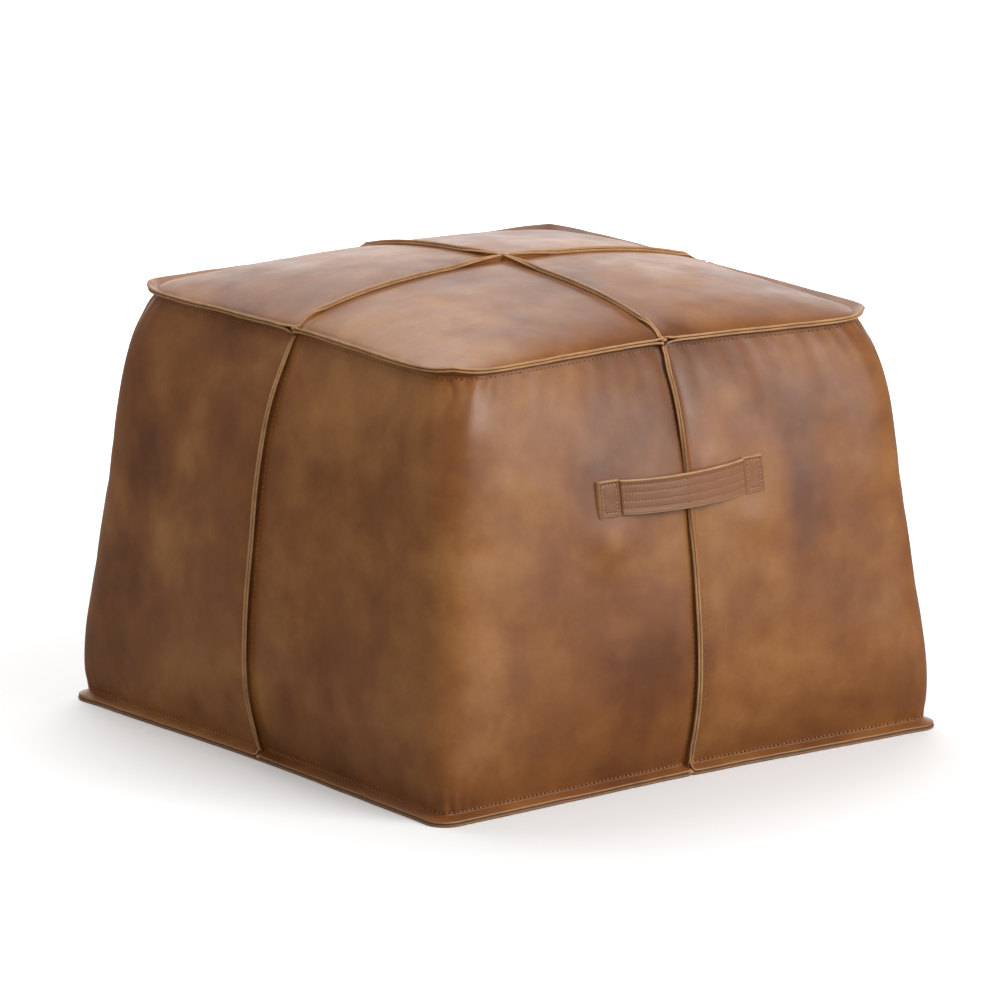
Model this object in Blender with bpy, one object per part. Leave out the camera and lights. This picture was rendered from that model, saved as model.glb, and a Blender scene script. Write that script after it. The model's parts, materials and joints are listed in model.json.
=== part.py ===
"""A square, tapered leather pouf with outward seams, a carrying handle and a zip in its base.

Blender 4.5 script, in metres, +Z up. The origin is at the centre of the underside, on the floor.
The carrying handle is on the -Y face.
"""

import math

import bpy
import numpy as np
from mathutils import Matrix, Vector

# Driving dimensions
BASE_WIDTH = 0.612  # between the tips of the bottom seam's lips, measured along a corner-to-corner side
TOP_WIDTH = 0.528  # the same at the top seam
SEAM_HEIGHT = 0.4165  # the top seam above the floor
CROWN = 0.037  # how far the top swells above its seam
LEATHER = 0.002
GAP = 0.0003  # air between touching pieces
LIP = 0.009  # width of the top and bottom seams, which stand out from the cover
LIP_TILT = math.radians(22)  # how far the lip round the top turns up
FIN = 0.005  # how far the other seams stand out
KNOT = 0.004  # depth of the gusset where an upright seam runs into a lip

# How the cover departs from a straight-sided pyramid
CORNER_RADIUS = 0.044
BOTTOM_RADIUS = 0.012
TOP_PULL_IN = 0.009  # middle of a top edge, behind the line of its corners
BOTTOM_PULL_IN = 0.007
CORNER_SWELL = 0.0175
FACE_SWELL = 0.035

# Filling
COVER_ROOM = 0.007  # outer face of the cover to the wadding, with room for the handle's backing
CORE_BOTTOM_WIDTH = 0.544
CORE_TOP_WIDTH = 0.464
CORE_RADIUS = 0.045
CORE_FLOOR = 0.018
CORE_HEIGHT = 0.368
SLABS = 3
LINER = 0.001
LINER_ROOM = 0.0005
TOP_WADDING = 0.008
TOP_ROOM = 0.017  # outer face of the top panels to the wadding under them

# Carrying handle
HANDLE_HEIGHT = 0.285  # its centre line above the floor
HANDLE_LEFT = -0.110
HANDLE_RIGHT = 0.0885
HANDLE_WIDTH = 0.034
HANDLE_END = 0.024  # length stitched down at each end
HANDLE_BOW = 0.0056  # how far its free middle stands out, and how far it hangs
HANDLE_SAG = 0.0035
HANDLE_BORDER = 0.001  # how much wider its turned-under ends are
LINING = 0.0016
LINING_INSET = 0.0015
BACKING = 0.0012
BACKING_BORDER = 0.006

# Zip in the base
ZIP_LENGTH = 0.436
CHANNEL_DEPTH = 0.010
CHANNEL_HALF = 0.020
CHANNEL_SLOPE = 0.010
CHANNEL_ROOM = 0.022  # the channel runs on past the zip's ends, so that the pull tab can lie either way
ZIP_OPENING = 0.008  # half the distance between the two leather edges
ZIP_END = 0.010  # tape and opening past the ends of the teeth
TAPE = 0.0006
TAPE_OUTER = 0.019
TEETH_INNER = 0.0012
TEETH_OUTER = 0.0040
TEETH_HEIGHT = 0.0026
SLIDER_LENGTH = 0.011
SLIDER_HALF_WIDTH = 0.0054
SLIDER_PLATE = 0.0014
SLIDER_TRAVEL_MARGIN = 0.008
BRIDGE_HEIGHT = 0.0032
TAB_LENGTH = 0.025
TAB_WIDTH = 0.007
TAB_THICKNESS = 0.0012
TAB_EYE = (0.0044, 0.0054)  # the opening round the bridge: its width, and how far it reaches from the pivot
TAB_HOLE = (0.003, 0.005)  # the hole near the tab's tip: its width and length
TAB_HOLE_MARGIN = 0.003
STOP_LENGTH = 0.0042
ZIP_BEVEL = 0.0005
POST_HALF = 0.0025  # half the length of the slider's post
BRIDGE_HALF = 0.0036  # half the length the bridge spans, and the half-widths and thicknesses of its parts
BRIDGE_LEG = 0.0012
BRIDGE_LEG_HALF = 0.001
BRIDGE_BAR_HALF = 0.0012
BRIDGE_BAR = 0.0008
OVERLAP = 0.0004  # how far the slider's parts run into each other before they are joined
FLANGE_SETBACK = 0.0008  # the flanges stop short of the plates' ends
FLANGE_INSET = 0.0001
WADDING_REACHES = (0.3, 0.6, 0.8, 0.88)  # rings of the dome, as fractions of the cover's half-width
FOAM_REACHES = (0.86, 0.6, 0.3)

# Levels and outlines worked out from those
BOTTOM_SEAM = LEATHER + GAP / 2
SIDE_BOTTOM = BOTTOM_SEAM + GAP / 2 + LEATHER
SEAM_EDGE = GAP / 2 + LEATHER  # outer side of a fin, measured from the seam's plane
SIDE_TOP = SEAM_HEIGHT - SEAM_EDGE / math.cos(LIP_TILT)
TOP_LIP = SEAM_HEIGHT + SEAM_EDGE / math.cos(LIP_TILT)
LIP_OUT = LIP * math.cos(LIP_TILT)
LIP_UP = LIP * math.sin(LIP_TILT)
CORE_TOP = CORE_FLOOR + CORE_HEIGHT
OPENING_END = ZIP_LENGTH / 2 + ZIP_END
CHANNEL_END = ZIP_LENGTH / 2 + CHANNEL_ROOM
TAPE_LEVEL = CHANNEL_DEPTH + LEATHER + GAP
TEETH_LEVEL = TAPE_LEVEL + TAPE / 2 - TEETH_HEIGHT / 2
SLIDER_FLOOR = TEETH_LEVEL - GAP - SLIDER_PLATE
SLIDER_ROOF = TEETH_LEVEL + TEETH_HEIGHT + GAP
SLIDER_START = -ZIP_LENGTH / 2 + SLIDER_TRAVEL_MARGIN
TAB_PIVOT = SLIDER_FLOOR - 0.0012

STRAIGHT_STEPS = 4
ARC_STEPS = 3
BODY_ROWS = 9
STRAP_STEPS = 10
CROWN_ROWS = 6
TOP_CENTRE = 0.03  # where the top quarters stop short of the centre, as a fraction of their length
QUARTERS = (("back_right", 0), ("back_left", 1), ("front_left", 2), ("front_right", 3))


def clear_scene():
    for obj in list(bpy.data.objects):
        bpy.data.objects.remove(obj)


def material(name, colour, roughness, metallic=0.0):
    made = bpy.data.materials.get(name)
    if made:
        return made
    made = bpy.data.materials.new(name)
    made.use_nodes = True
    shader = made.node_tree.nodes["Principled BSDF"]
    shader.inputs["Base Color"].default_value = (*colour, 1)
    shader.inputs["Roughness"].default_value = roughness
    shader.inputs["Metallic"].default_value = metallic
    return made


def cover_leather():
    return material("cover_leather", (0.23, 0.095, 0.038), 0.42)


def base_leather():
    return material("base_leather", (0.13, 0.06, 0.03), 0.6)


def handle_leather():
    return material("handle_leather", (0.27, 0.12, 0.055), 0.45)


def foam():
    return material("foam", (0.75, 0.70, 0.50), 0.9)


def wadding():
    return material("wadding", (0.85, 0.85, 0.82), 1.0)


def liner_cloth():
    return material("liner_cloth", (0.80, 0.78, 0.72), 0.9)


def zip_cloth():
    return material("zip_cloth", (0.03, 0.02, 0.015), 0.9)


def zip_nylon():
    return material("zip_nylon", (0.04, 0.025, 0.02), 0.5)


def zip_metal():
    return material("zip_metal", (0.45, 0.33, 0.18), 0.35, metallic=1.0)


def mesh_object(name, points, faces, finish, origin=(0, 0, 0)):
    """An object with its origin at the given place, made of points given in the whole object's frame."""
    mesh = bpy.data.meshes.new(name)
    mesh.from_pydata([Vector(p) - Vector(origin) for p in points], [], faces)
    mesh.materials.append(finish)
    mesh.shade_smooth()
    mesh.set_sharp_from_angle(angle=math.radians(35))
    obj = bpy.data.objects.new(name, mesh)
    obj.location = origin
    bpy.context.scene.collection.objects.link(obj)
    return obj


def grid_faces(rows, columns):
    faces = []
    for r in range(rows - 1):
        for c in range(columns - 1):
            first = r * columns + c
            faces.append((first, first + 1, first + columns + 1, first + columns))
    return faces


def quad_normals(rows):
    """Unit normals of the quads between neighbouring rows and columns."""
    grid = np.array([[tuple(p) for p in row] for row in rows])
    across = grid[1:, 1:] - grid[:-1, :-1]
    back = grid[1:, :-1] - grid[:-1, 1:]
    normals = np.cross(across, back)
    return grid, normals / np.linalg.norm(normals, axis=2, keepdims=True)


def rows_behind(rows, thickness):
    """The grid moved back to lie one thickness behind every quad, also where the sheet is folded."""
    grid, normals = quad_normals(rows)
    moved = grid.copy()
    for r, c in np.ndindex(grid.shape[:2]):
        around = normals[max(r - 1, 0) : r + 1, max(c - 1, 0) : c + 1].reshape(-1, 3)
        wanted = np.full(len(around), -thickness)
        moved[r, c] += np.linalg.lstsq(around, wanted, rcond=0.15)[0]
    return moved.tolist()


def leather_sheet(name, rows, thickness, finish, origin=(0, 0, 0)):
    """A closed sheet whose outer side is the grid of points; its thickness lies behind it."""
    height, width = len(rows), len(rows[0])
    points = [p for row in rows + rows_behind(rows, thickness) for p in row]
    front = grid_faces(height, width)
    shift = height * width
    back = [tuple(corner + shift for corner in reversed(face)) for face in front]
    around = list(range(width))
    around += [r * width + width - 1 for r in range(1, height)]
    around += [(height - 1) * width + c for c in reversed(range(width - 1))]
    around += [r * width for r in reversed(range(1, height - 1))]
    edges = zip(around, around[1:] + around[:1])
    rim = [(b, a, a + shift, b + shift) for a, b in edges]
    return mesh_object(name, points, front + back + rim, finish, origin)


def loft(name, rings, finish):
    """A closed solid through rings of equally many points, flat at its first and last ring."""
    count = len(rings[0])
    points = [p for ring in rings for p in ring]
    faces = [tuple(reversed(range(count)))]
    for r in range(len(rings) - 1):
        for c in range(count):
            n = (c + 1) % count
            low, high = r * count, (r + 1) * count
            faces.append((low + c, low + n, high + n, high + c))
    faces.append(tuple(range(len(points) - count, len(points))))
    return mesh_object(name, points, faces, finish)


def tube(name, outer, inner, finish):
    """A closed sleeve between two walls, each a list of rings from the bottom up."""
    count = len(outer[0])
    rings = outer + inner[::-1]
    points = [p for ring in rings for p in ring]
    faces = []
    for r in range(len(rings)):
        low, high = r * count, (r + 1) % len(rings) * count
        for c in range(count):
            n = (c + 1) % count
            faces.append((low + c, low + n, high + n, high + c))
    return mesh_object(name, points, faces, finish)


def block(name, low, high, finish, origin=(0, 0, 0)):
    """A box between two opposite corners."""
    points = [(x, y, z) for z in (low[2], high[2]) for y in (low[1], high[1]) for x in (low[0], high[0])]
    faces = [(0, 2, 3, 1), (4, 5, 7, 6), (0, 1, 5, 4), (1, 3, 7, 5), (3, 2, 6, 7), (2, 0, 4, 6)]
    return mesh_object(name, points, faces, finish, origin)


def combine(obj, helper, operation):
    """Joins or cuts obj with a helper, which is left as a wire guide."""
    helper.hide_render = True
    helper.display_type = "WIRE"
    boolean = obj.modifiers.new(operation.title(), "BOOLEAN")
    boolean.operation = operation
    boolean.solver = "EXACT"
    boolean.object = helper


def bevel(obj, width, segments=1):
    rounding = obj.modifiers.new("Rounding", "BEVEL")
    rounding.width = width
    rounding.segments = segments
    rounding.limit_method = "ANGLE"


def lerp(a, b, t):
    return a + (b - a) * t


def swell(t, sharpness):
    """0 at both seams and 1 half way up; a higher sharpness fills out sooner."""
    return 1 - abs(2 * t - 1) ** sharpness


def section(t, inset=0.0):
    """Half-widths at a corner and at mid-face, and the corner radius, a fraction t of the way up."""
    corner = lerp(BASE_WIDTH, TOP_WIDTH, t) / 2 - LIP + CORNER_SWELL * swell(t, 6)
    pull_in = lerp(BOTTOM_PULL_IN, TOP_PULL_IN, t)
    middle = lerp(BASE_WIDTH, TOP_WIDTH, t) / 2 - LIP - pull_in + FACE_SWELL * swell(t, 3.2)
    radius = CORNER_RADIUS - (CORNER_RADIUS - BOTTOM_RADIUS) * (1 - t) ** 8
    return corner - inset, middle - inset, radius - inset


def face_depth(corner, middle, radius, along):
    """Half-width of one face at a distance along it from its middle."""
    reach = min(abs(along) / (corner - radius), 1)
    return lerp(middle, corner, (1 - math.cos(math.pi * reach)) / 2)


def quarter_outline(corner, middle, radius, start=0.0):
    """Points from the middle of the +X face round the corner to the middle of the +Y face."""
    straight = corner - radius
    side = []
    for k in range(STRAIGHT_STEPS):
        along = lerp(start, straight, k / STRAIGHT_STEPS)
        side.append((face_depth(corner, middle, radius, along), along))
    arc = []
    for k in range(ARC_STEPS + 1):
        angle = math.pi / 2 * k / ARC_STEPS
        arc.append((straight + radius * math.cos(angle), straight + radius * math.sin(angle)))
    return side + arc + [(y, x) for x, y in reversed(side)]


def whole_outline(corner, middle, radius, z):
    """The four quarters joined into one ring at height z."""
    ring = []
    for turn in range(4):
        spin = Matrix.Rotation(math.pi / 2 * turn, 3, "Z")
        quarter = quarter_outline(corner, middle, radius)[:-1]
        ring += [spin @ Vector((x, y, z)) for x, y in quarter]
    return ring


def cover_height(t):
    return lerp(SIDE_BOTTOM, SIDE_TOP, t)


def cover_fraction(z):
    return (z - SIDE_BOTTOM) / (SIDE_TOP - SIDE_BOTTOM)


def crown_height(reach):
    """Top surface above the lip, where reach is 0 at the centre and 1 at the seam."""
    return CROWN * (1 - reach**2.2) ** 0.85


def with_fins(outline, z, fin, fin_z):
    """A row of a quarter panel: its outline at height z, with the edge of a fin at each end."""
    first, last = outline[0], outline[-1]
    row = [(first[0] + fin, first[1], fin_z)]
    row += [(x, y, z) for x, y in outline]
    row.append((last[0], last[1] + fin, fin_z))
    return row


def turned(rows, turn):
    spin = Matrix.Rotation(math.pi / 2 * turn, 3, "Z")
    return [[spin @ Vector(p) for p in row] for row in rows]


def side_levels():
    """Heights as fractions, closer together near the seams, where the cover curves most."""
    return [(1 - math.cos(math.pi * k / BODY_ROWS)) / 2 for k in range(BODY_ROWS + 1)]


def side_panel(place, turn):
    """Leather wrapped round one corner, from mid-face to mid-face, its seam allowances turned outward."""
    rows = []
    for t in side_levels():
        z = cover_height(t)
        fin_z = min(max(z, SIDE_BOTTOM + KNOT), SIDE_TOP - KNOT)
        rows.append(with_fins(quarter_outline(*section(t), SEAM_EDGE), z, FIN, fin_z))
    bottom_lip = quarter_outline(*section(0, -LIP), SEAM_EDGE)
    top_lip = quarter_outline(*section(1, -LIP_OUT), SEAM_EDGE)
    rows.insert(0, with_fins(bottom_lip, SIDE_BOTTOM, 0, SIDE_BOTTOM + KNOT))
    rows.append(with_fins(top_lip, SIDE_TOP + LIP_UP, 0, SIDE_TOP + LIP_UP - KNOT))
    leather_sheet(f"side_panel_{place}", turned(rows, turn), LEATHER, cover_leather())


def top_panel(place, turn):
    """One quarter of the domed top. The four stop just short of the centre, where their fins cross."""
    rows = []
    for k in range(CROWN_ROWS + 1):
        reach = max(math.sin(math.pi / 2 * k / CROWN_ROWS), TOP_CENTRE)
        outline = quarter_outline(*(size * reach for size in section(1)), SEAM_EDGE)
        z = TOP_LIP + crown_height(reach)
        rows.append(with_fins(outline, z, 0, z + FIN))
    lip = quarter_outline(*section(1, -LIP_OUT), SEAM_EDGE)
    rows.append(with_fins(lip, TOP_LIP + LIP_UP, 0, TOP_LIP + LIP_UP + KNOT))
    leather_sheet(f"top_panel_{place}", turned(rows[::-1], turn), LEATHER, cover_leather())


def base_rows():
    """Distances along Y of the base panel's rows, with round corners and the ends of the zip's channel."""
    corner, _, radius = section(0, -LIP)
    arc = [corner - radius + radius * math.sin(math.pi / 2 * k / ARC_STEPS) for k in range(ARC_STEPS + 1)]
    zip_rows = [ZIP_LENGTH / 6, OPENING_END, OPENING_END + ZIP_OPENING]
    half = zip_rows + [CHANNEL_END, CHANNEL_END + CHANNEL_SLOPE] + arc
    return [-y for y in reversed(half)] + half


def base_panel(name, side):
    """Half of the underside: flat on the floor, and raised along the middle so that the zip clears it."""
    corner, middle, radius = section(0, -LIP)
    rows = []
    for y in base_rows():
        past_straight = min(max(abs(y) - (corner - radius), 0) / radius, 1)
        edge = face_depth(corner, middle, radius, y) - radius * (1 - math.sqrt(1 - past_straight**2))
        inner = ZIP_OPENING if abs(y) <= OPENING_END else GAP / 2
        channel = CHANNEL_HALF + CHANNEL_SLOPE
        across = [inner, CHANNEL_HALF, channel, lerp(channel, edge, 0.5), edge]
        row = []
        for x in across:
            pull_in = (corner - face_depth(corner, middle, radius, x)) * (abs(y) / corner) ** 8
            z = CHANNEL_DEPTH if abs(y) <= CHANNEL_END and x <= CHANNEL_HALF else 0
            row.append((x * side, math.copysign(abs(y) - pull_in, y), z))
        rows.append(row)
    if side > 0:
        rows.reverse()
    leather_sheet(name, rows, LEATHER, base_leather())


def core_ring(z, margin=0.0):
    """The foam core's outline at height z."""
    t = (z - CORE_FLOOR) / CORE_HEIGHT
    half = lerp(CORE_BOTTOM_WIDTH, CORE_TOP_WIDTH, t) / 2 + margin
    return whole_outline(half, half, CORE_RADIUS + margin, z)


def foam_slab(name, index):
    pitch = CORE_HEIGHT / SLABS
    low = CORE_FLOOR + index * pitch
    loft(name, [core_ring(low), core_ring(low + pitch - GAP)], foam())


def core_liner():
    """A cloth bag pulled down over the foam core, open at the bottom."""
    bottom = CORE_FLOOR
    top = CORE_TOP + LINER_ROOM
    outer_margin = LINER_ROOM + LINER
    outside = [core_ring(bottom, outer_margin), core_ring(top + LINER, outer_margin)]
    inside = [core_ring(bottom, LINER_ROOM), core_ring(top, LINER_ROOM)]
    count = len(outside[0])
    rings = [inside[1], inside[0], outside[0], outside[1]]
    points = [p for ring in rings for p in ring]
    faces = [tuple(reversed(range(count)))]
    for r in range(3):
        for c in range(count):
            n = (c + 1) % count
            faces.append(((r + 1) * count + n, (r + 1) * count + c, r * count + c, r * count + n))
    faces.append(tuple(range(3 * count, 4 * count)))
    mesh_object("core_liner", points, faces, liner_cloth())


def wadding_sleeve():
    """Fibre wadding between the foam core and the side panels."""
    levels = side_levels()[1:-1]
    outer = [whole_outline(*section(t, COVER_ROOM), cover_height(t)) for t in levels]
    margin = 2 * LINER_ROOM + LINER
    heights = [max(cover_height(t), CORE_FLOOR) for t in levels]
    inner = [core_ring(heights[0], margin), core_ring(heights[-1], margin)]
    tube("wadding_sleeve", outer, inner, wadding())


def crown_ring(reach, drop):
    sizes = (size * reach for size in section(1))
    return whole_outline(*sizes, TOP_LIP + crown_height(reach) - drop)


def top_wadding():
    """A domed sheet of wadding under the top panels."""
    upper = [crown_ring(reach, TOP_ROOM) for reach in reversed(WADDING_REACHES)]
    lower = [crown_ring(reach, TOP_ROOM + TOP_WADDING) for reach in WADDING_REACHES]
    loft("top_wadding", lower + upper, wadding())


def crown_foam():
    """A softer foam pad that gives the seat its dome."""
    drop = TOP_ROOM + TOP_WADDING + 4 * GAP
    foot = CORE_TOP + LINER + 3 * LINER_ROOM
    sizes = [size * FOAM_REACHES[0] for size in section(1)]
    rings = [whole_outline(*sizes, foot)]
    rings += [crown_ring(reach, drop) for reach in FOAM_REACHES]
    loft("crown_foam", rings, foam())


def front_face(x, z, out):
    """A point on the -Y face of the cover at x and z, moved out along the face's normal."""
    corner, middle, radius = section(cover_fraction(z))
    tilt = handle_tilt()
    depth = face_depth(corner, middle, radius, x)
    return (x, -depth - out * math.cos(tilt), z + out * math.sin(tilt))


def handle_tilt():
    """How far the -Y face leans back at the handle."""
    step = HANDLE_WIDTH / 2
    low = section(cover_fraction(HANDLE_HEIGHT - step))[1]
    high = section(cover_fraction(HANDLE_HEIGHT + step))[1]
    return math.atan2(low - high, 2 * step)


def arch(s):
    """0 at both ends of the free strap and 1 in its middle, a fraction s along it."""
    return max(math.sin(math.pi * s), 0) ** 0.7


def handle_rows(left, right, steps, width, out, bow=0.0, sag=0.0):
    """A grid on the -Y face, from left to right, standing out from it and arching further out and down."""
    rows = []
    rise = width / 2 * math.cos(handle_tilt())
    for k in range(steps + 1):
        s = k / steps
        x = lerp(left, right, s)
        middle = HANDLE_HEIGHT - sag * arch(s)
        rows.append([front_face(x, z, out + bow * arch(s)) for z in (middle + rise, middle, middle - rise)])
    return rows


def handle_end(name, left):
    """One end of the strap, turned under and stitched down to the cover."""
    thickness = 2 * LEATHER
    rows = handle_rows(left, left + HANDLE_END, 2, HANDLE_WIDTH + HANDLE_BORDER, thickness + 2 * GAP)
    leather_sheet(name, rows, thickness, handle_leather())


def handle_grip():
    """The free middle of the strap and its lining, which bow away from the cover."""
    left = HANDLE_LEFT + HANDLE_END + GAP
    right = HANDLE_RIGHT - HANDLE_END - GAP
    origin = front_face((left + right) / 2, HANDLE_HEIGHT, 0)
    outer = 2 * LEATHER + 2 * GAP
    behind = outer - LEATHER - GAP
    strap = handle_rows(left, right, STRAP_STEPS, HANDLE_WIDTH, outer, HANDLE_BOW, HANDLE_SAG)
    leather_sheet("handle_strap", strap, LEATHER, handle_leather(), origin)
    lining_width = HANDLE_WIDTH - 2 * LINING_INSET
    lining = handle_rows(left, right, STRAP_STEPS, lining_width, behind, HANDLE_BOW, HANDLE_SAG)
    leather_sheet("handle_lining", lining, LINING, handle_leather(), origin)


def handle_backing(name, left):
    """A leather patch inside the cover that spreads the load of one end of the strap."""
    width = HANDLE_WIDTH + 2 * BACKING_BORDER
    right = left + HANDLE_END + BACKING_BORDER
    rows = handle_rows(left - BACKING_BORDER, right, 3, width, -2 * LEATHER)
    leather_sheet(name, rows, BACKING, base_leather())


def zip_tape(name, side):
    x = sorted((side * (TEETH_OUTER + GAP), side * TAPE_OUTER))
    y = OPENING_END
    block(name, (x[0], -y, TAPE_LEVEL), (x[1], y, TAPE_LEVEL + TAPE), zip_cloth())


def zip_teeth(name, side):
    """One row of the zip's coil, as a plain bar with the coil's outer size."""
    x = sorted((side * TEETH_INNER, side * TEETH_OUTER))
    y = ZIP_LENGTH / 2
    teeth = block(name, (x[0], -y, TEETH_LEVEL), (x[1], y, TEETH_LEVEL + TEETH_HEIGHT), zip_nylon())
    bevel(teeth, ZIP_BEVEL)


def zip_stop(name, end):
    """A metal crimp across both rows, just past their ends."""
    y = sorted((end * (ZIP_LENGTH / 2 + GAP), end * (ZIP_LENGTH / 2 + GAP + STOP_LENGTH)))
    low = (-TEETH_OUTER, y[0], TEETH_LEVEL - GAP)
    stop = block(name, low, (TEETH_OUTER, y[1], TEETH_LEVEL + TEETH_HEIGHT + GAP), zip_metal())
    bevel(stop, ZIP_BEVEL)


def slider_part(name, half_width, y_range, z_range, x_centre=0.0):
    origin = (0, SLIDER_START, TAB_PIVOT)
    low = (x_centre - half_width, SLIDER_START + y_range[0], z_range[0])
    high = (x_centre + half_width, SLIDER_START + y_range[1], z_range[1])
    return block(name, low, high, zip_metal(), origin)


def zip_slider():
    """Two flanged plates joined by a post between the rows of teeth, and a bridge for the pull tab."""
    ends = (-SLIDER_LENGTH / 2, SLIDER_LENGTH / 2)
    floor_plate = (SLIDER_FLOOR, SLIDER_FLOOR + SLIDER_PLATE)
    roof_plate = (SLIDER_ROOF, SLIDER_ROOF + SLIDER_PLATE)
    slider = slider_part("zip_slider", SLIDER_HALF_WIDTH, ends, floor_plate)
    roof = slider_part("guide_slider_roof", SLIDER_HALF_WIDTH, ends, roof_plate)
    floor_inside = SLIDER_FLOOR + OVERLAP
    roof_inside = SLIDER_ROOF + OVERLAP
    post_length = (-POST_HALF, POST_HALF)
    post = slider_part("guide_slider_post", TEETH_INNER - GAP, post_length, (floor_inside, roof_inside))
    helpers = [roof, post]
    flange_half = (SLIDER_HALF_WIDTH - TEETH_OUTER - GAP) / 2
    flange_x = SLIDER_HALF_WIDTH - flange_half - FLANGE_INSET
    flange_ends = (ends[0] + FLANGE_SETBACK, ends[1] - FLANGE_SETBACK)
    low_flange = (floor_inside, TAPE_LEVEL - GAP)
    high_flange = (TAPE_LEVEL + TAPE + GAP, roof_inside)
    for side, place in ((-1, "left"), (1, "right")):
        for level, heights in (("low", low_flange), ("high", high_flange)):
            name = f"guide_slider_flange_{level}_{place}"
            half_width = flange_half - FLANGE_INSET
            helpers.append(slider_part(name, half_width, flange_ends, heights, side * flange_x))
    bridge_floor = SLIDER_FLOOR - BRIDGE_HEIGHT
    for end, place in ((-1, "front"), (1, "back")):
        leg = sorted((end * (BRIDGE_HALF - BRIDGE_LEG), end * BRIDGE_HALF))
        heights = (bridge_floor + OVERLAP, floor_inside)
        helpers.append(slider_part(f"guide_slider_bridge_{place}", BRIDGE_LEG_HALF, leg, heights))
    bar_ends = (-BRIDGE_HALF - FLANGE_INSET, BRIDGE_HALF + FLANGE_INSET)
    bar_heights = (bridge_floor, bridge_floor + BRIDGE_BAR)
    helpers.append(slider_part("guide_slider_bridge_bar", BRIDGE_BAR_HALF, bar_ends, bar_heights))
    for helper in helpers:
        combine(slider, helper, "UNION")


def zip_pull_tab():
    """A flat tab whose cross bar turns under the slider's bridge."""
    origin = (0, SLIDER_START, TAB_PIVOT)
    half = TAB_THICKNESS / 2
    low = (-TAB_WIDTH / 2, SLIDER_START - half, TAB_PIVOT - half)
    high = (TAB_WIDTH / 2, SLIDER_START + TAB_LENGTH, TAB_PIVOT + half)
    tab = block("zip_pull_tab", low, high, zip_metal(), origin)
    depth = 2 * half
    eye_start = SLIDER_START + half
    eye_end = SLIDER_START + TAB_EYE[1]
    tab_opening(tab, "guide_tab_eye", TAB_EYE[0], eye_start, eye_end, depth)
    hole_end = SLIDER_START + TAB_LENGTH - TAB_HOLE_MARGIN
    tab_opening(tab, "guide_tab_hole", TAB_HOLE[0], hole_end - TAB_HOLE[1], hole_end, depth)


def tab_opening(tab, name, width, start, end, depth):
    """Cuts a square opening right through the pull tab."""
    low = (-width / 2, start, TAB_PIVOT - depth)
    high = (width / 2, end, TAB_PIVOT + depth)
    cutter = block(name, low, high, zip_metal(), (0, SLIDER_START, TAB_PIVOT))
    combine(tab, cutter, "DIFFERENCE")


def build():
    clear_scene()
    for place, turn in QUARTERS:
        side_panel(place, turn)
        top_panel(place, turn)
    for name, side in (("left", -1), ("right", 1)):
        base_panel(f"base_panel_{name}", side)
        zip_tape(f"zip_tape_{name}", side)
        zip_teeth(f"zip_teeth_{name}", side)
    zip_stop("zip_stop_closed", -1)
    zip_stop("zip_stop_open", 1)
    zip_slider()
    zip_pull_tab()
    for index, name in enumerate(("foam_slab_bottom", "foam_slab_middle", "foam_slab_top")):
        foam_slab(name, index)
    core_liner()
    wadding_sleeve()
    crown_foam()
    top_wadding()
    handle_grip()
    for name, left in (("left", HANDLE_LEFT), ("right", HANDLE_RIGHT - HANDLE_END)):
        handle_end(f"handle_end_{name}", left)
        handle_backing(f"handle_backing_{name}", left)


build()
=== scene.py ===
"""The looks of a square, tapered leather pouf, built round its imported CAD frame."""

import json
import math

import bpy
import numpy as np
from mathutils import Matrix, Vector, noise


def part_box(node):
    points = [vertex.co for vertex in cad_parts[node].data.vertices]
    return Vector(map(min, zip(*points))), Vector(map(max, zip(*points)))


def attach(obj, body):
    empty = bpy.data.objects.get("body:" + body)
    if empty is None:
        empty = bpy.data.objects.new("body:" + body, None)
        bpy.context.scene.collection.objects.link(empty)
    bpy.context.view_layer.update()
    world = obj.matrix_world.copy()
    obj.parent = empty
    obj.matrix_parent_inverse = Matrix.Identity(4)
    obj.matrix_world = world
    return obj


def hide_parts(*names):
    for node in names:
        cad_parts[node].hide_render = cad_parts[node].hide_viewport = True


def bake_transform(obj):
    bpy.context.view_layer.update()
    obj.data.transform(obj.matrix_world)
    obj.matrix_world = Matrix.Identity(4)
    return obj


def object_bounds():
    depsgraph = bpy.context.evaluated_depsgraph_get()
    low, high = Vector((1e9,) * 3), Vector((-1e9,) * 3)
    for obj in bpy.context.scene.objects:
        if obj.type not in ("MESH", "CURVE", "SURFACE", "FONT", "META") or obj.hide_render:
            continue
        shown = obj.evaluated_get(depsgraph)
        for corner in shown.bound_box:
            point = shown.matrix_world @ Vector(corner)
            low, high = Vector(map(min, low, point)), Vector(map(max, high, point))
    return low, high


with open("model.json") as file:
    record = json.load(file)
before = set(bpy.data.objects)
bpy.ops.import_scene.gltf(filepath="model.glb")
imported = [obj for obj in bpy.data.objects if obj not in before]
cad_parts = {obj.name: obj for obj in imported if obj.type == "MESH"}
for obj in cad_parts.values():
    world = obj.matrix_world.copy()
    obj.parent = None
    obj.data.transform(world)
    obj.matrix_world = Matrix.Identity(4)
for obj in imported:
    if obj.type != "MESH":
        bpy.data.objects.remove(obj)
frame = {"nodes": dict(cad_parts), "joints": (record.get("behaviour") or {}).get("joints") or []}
cad_low, cad_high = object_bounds()

# Sizes taken from the frame
top_low, top_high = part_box("top_panel_back_right")
_, base_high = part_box("base_panel_right")
end_left_low, end_left_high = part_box("handle_end_left")
end_right_low, end_right_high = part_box("handle_end_right")
strap_low, strap_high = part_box("handle_strap")

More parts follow.
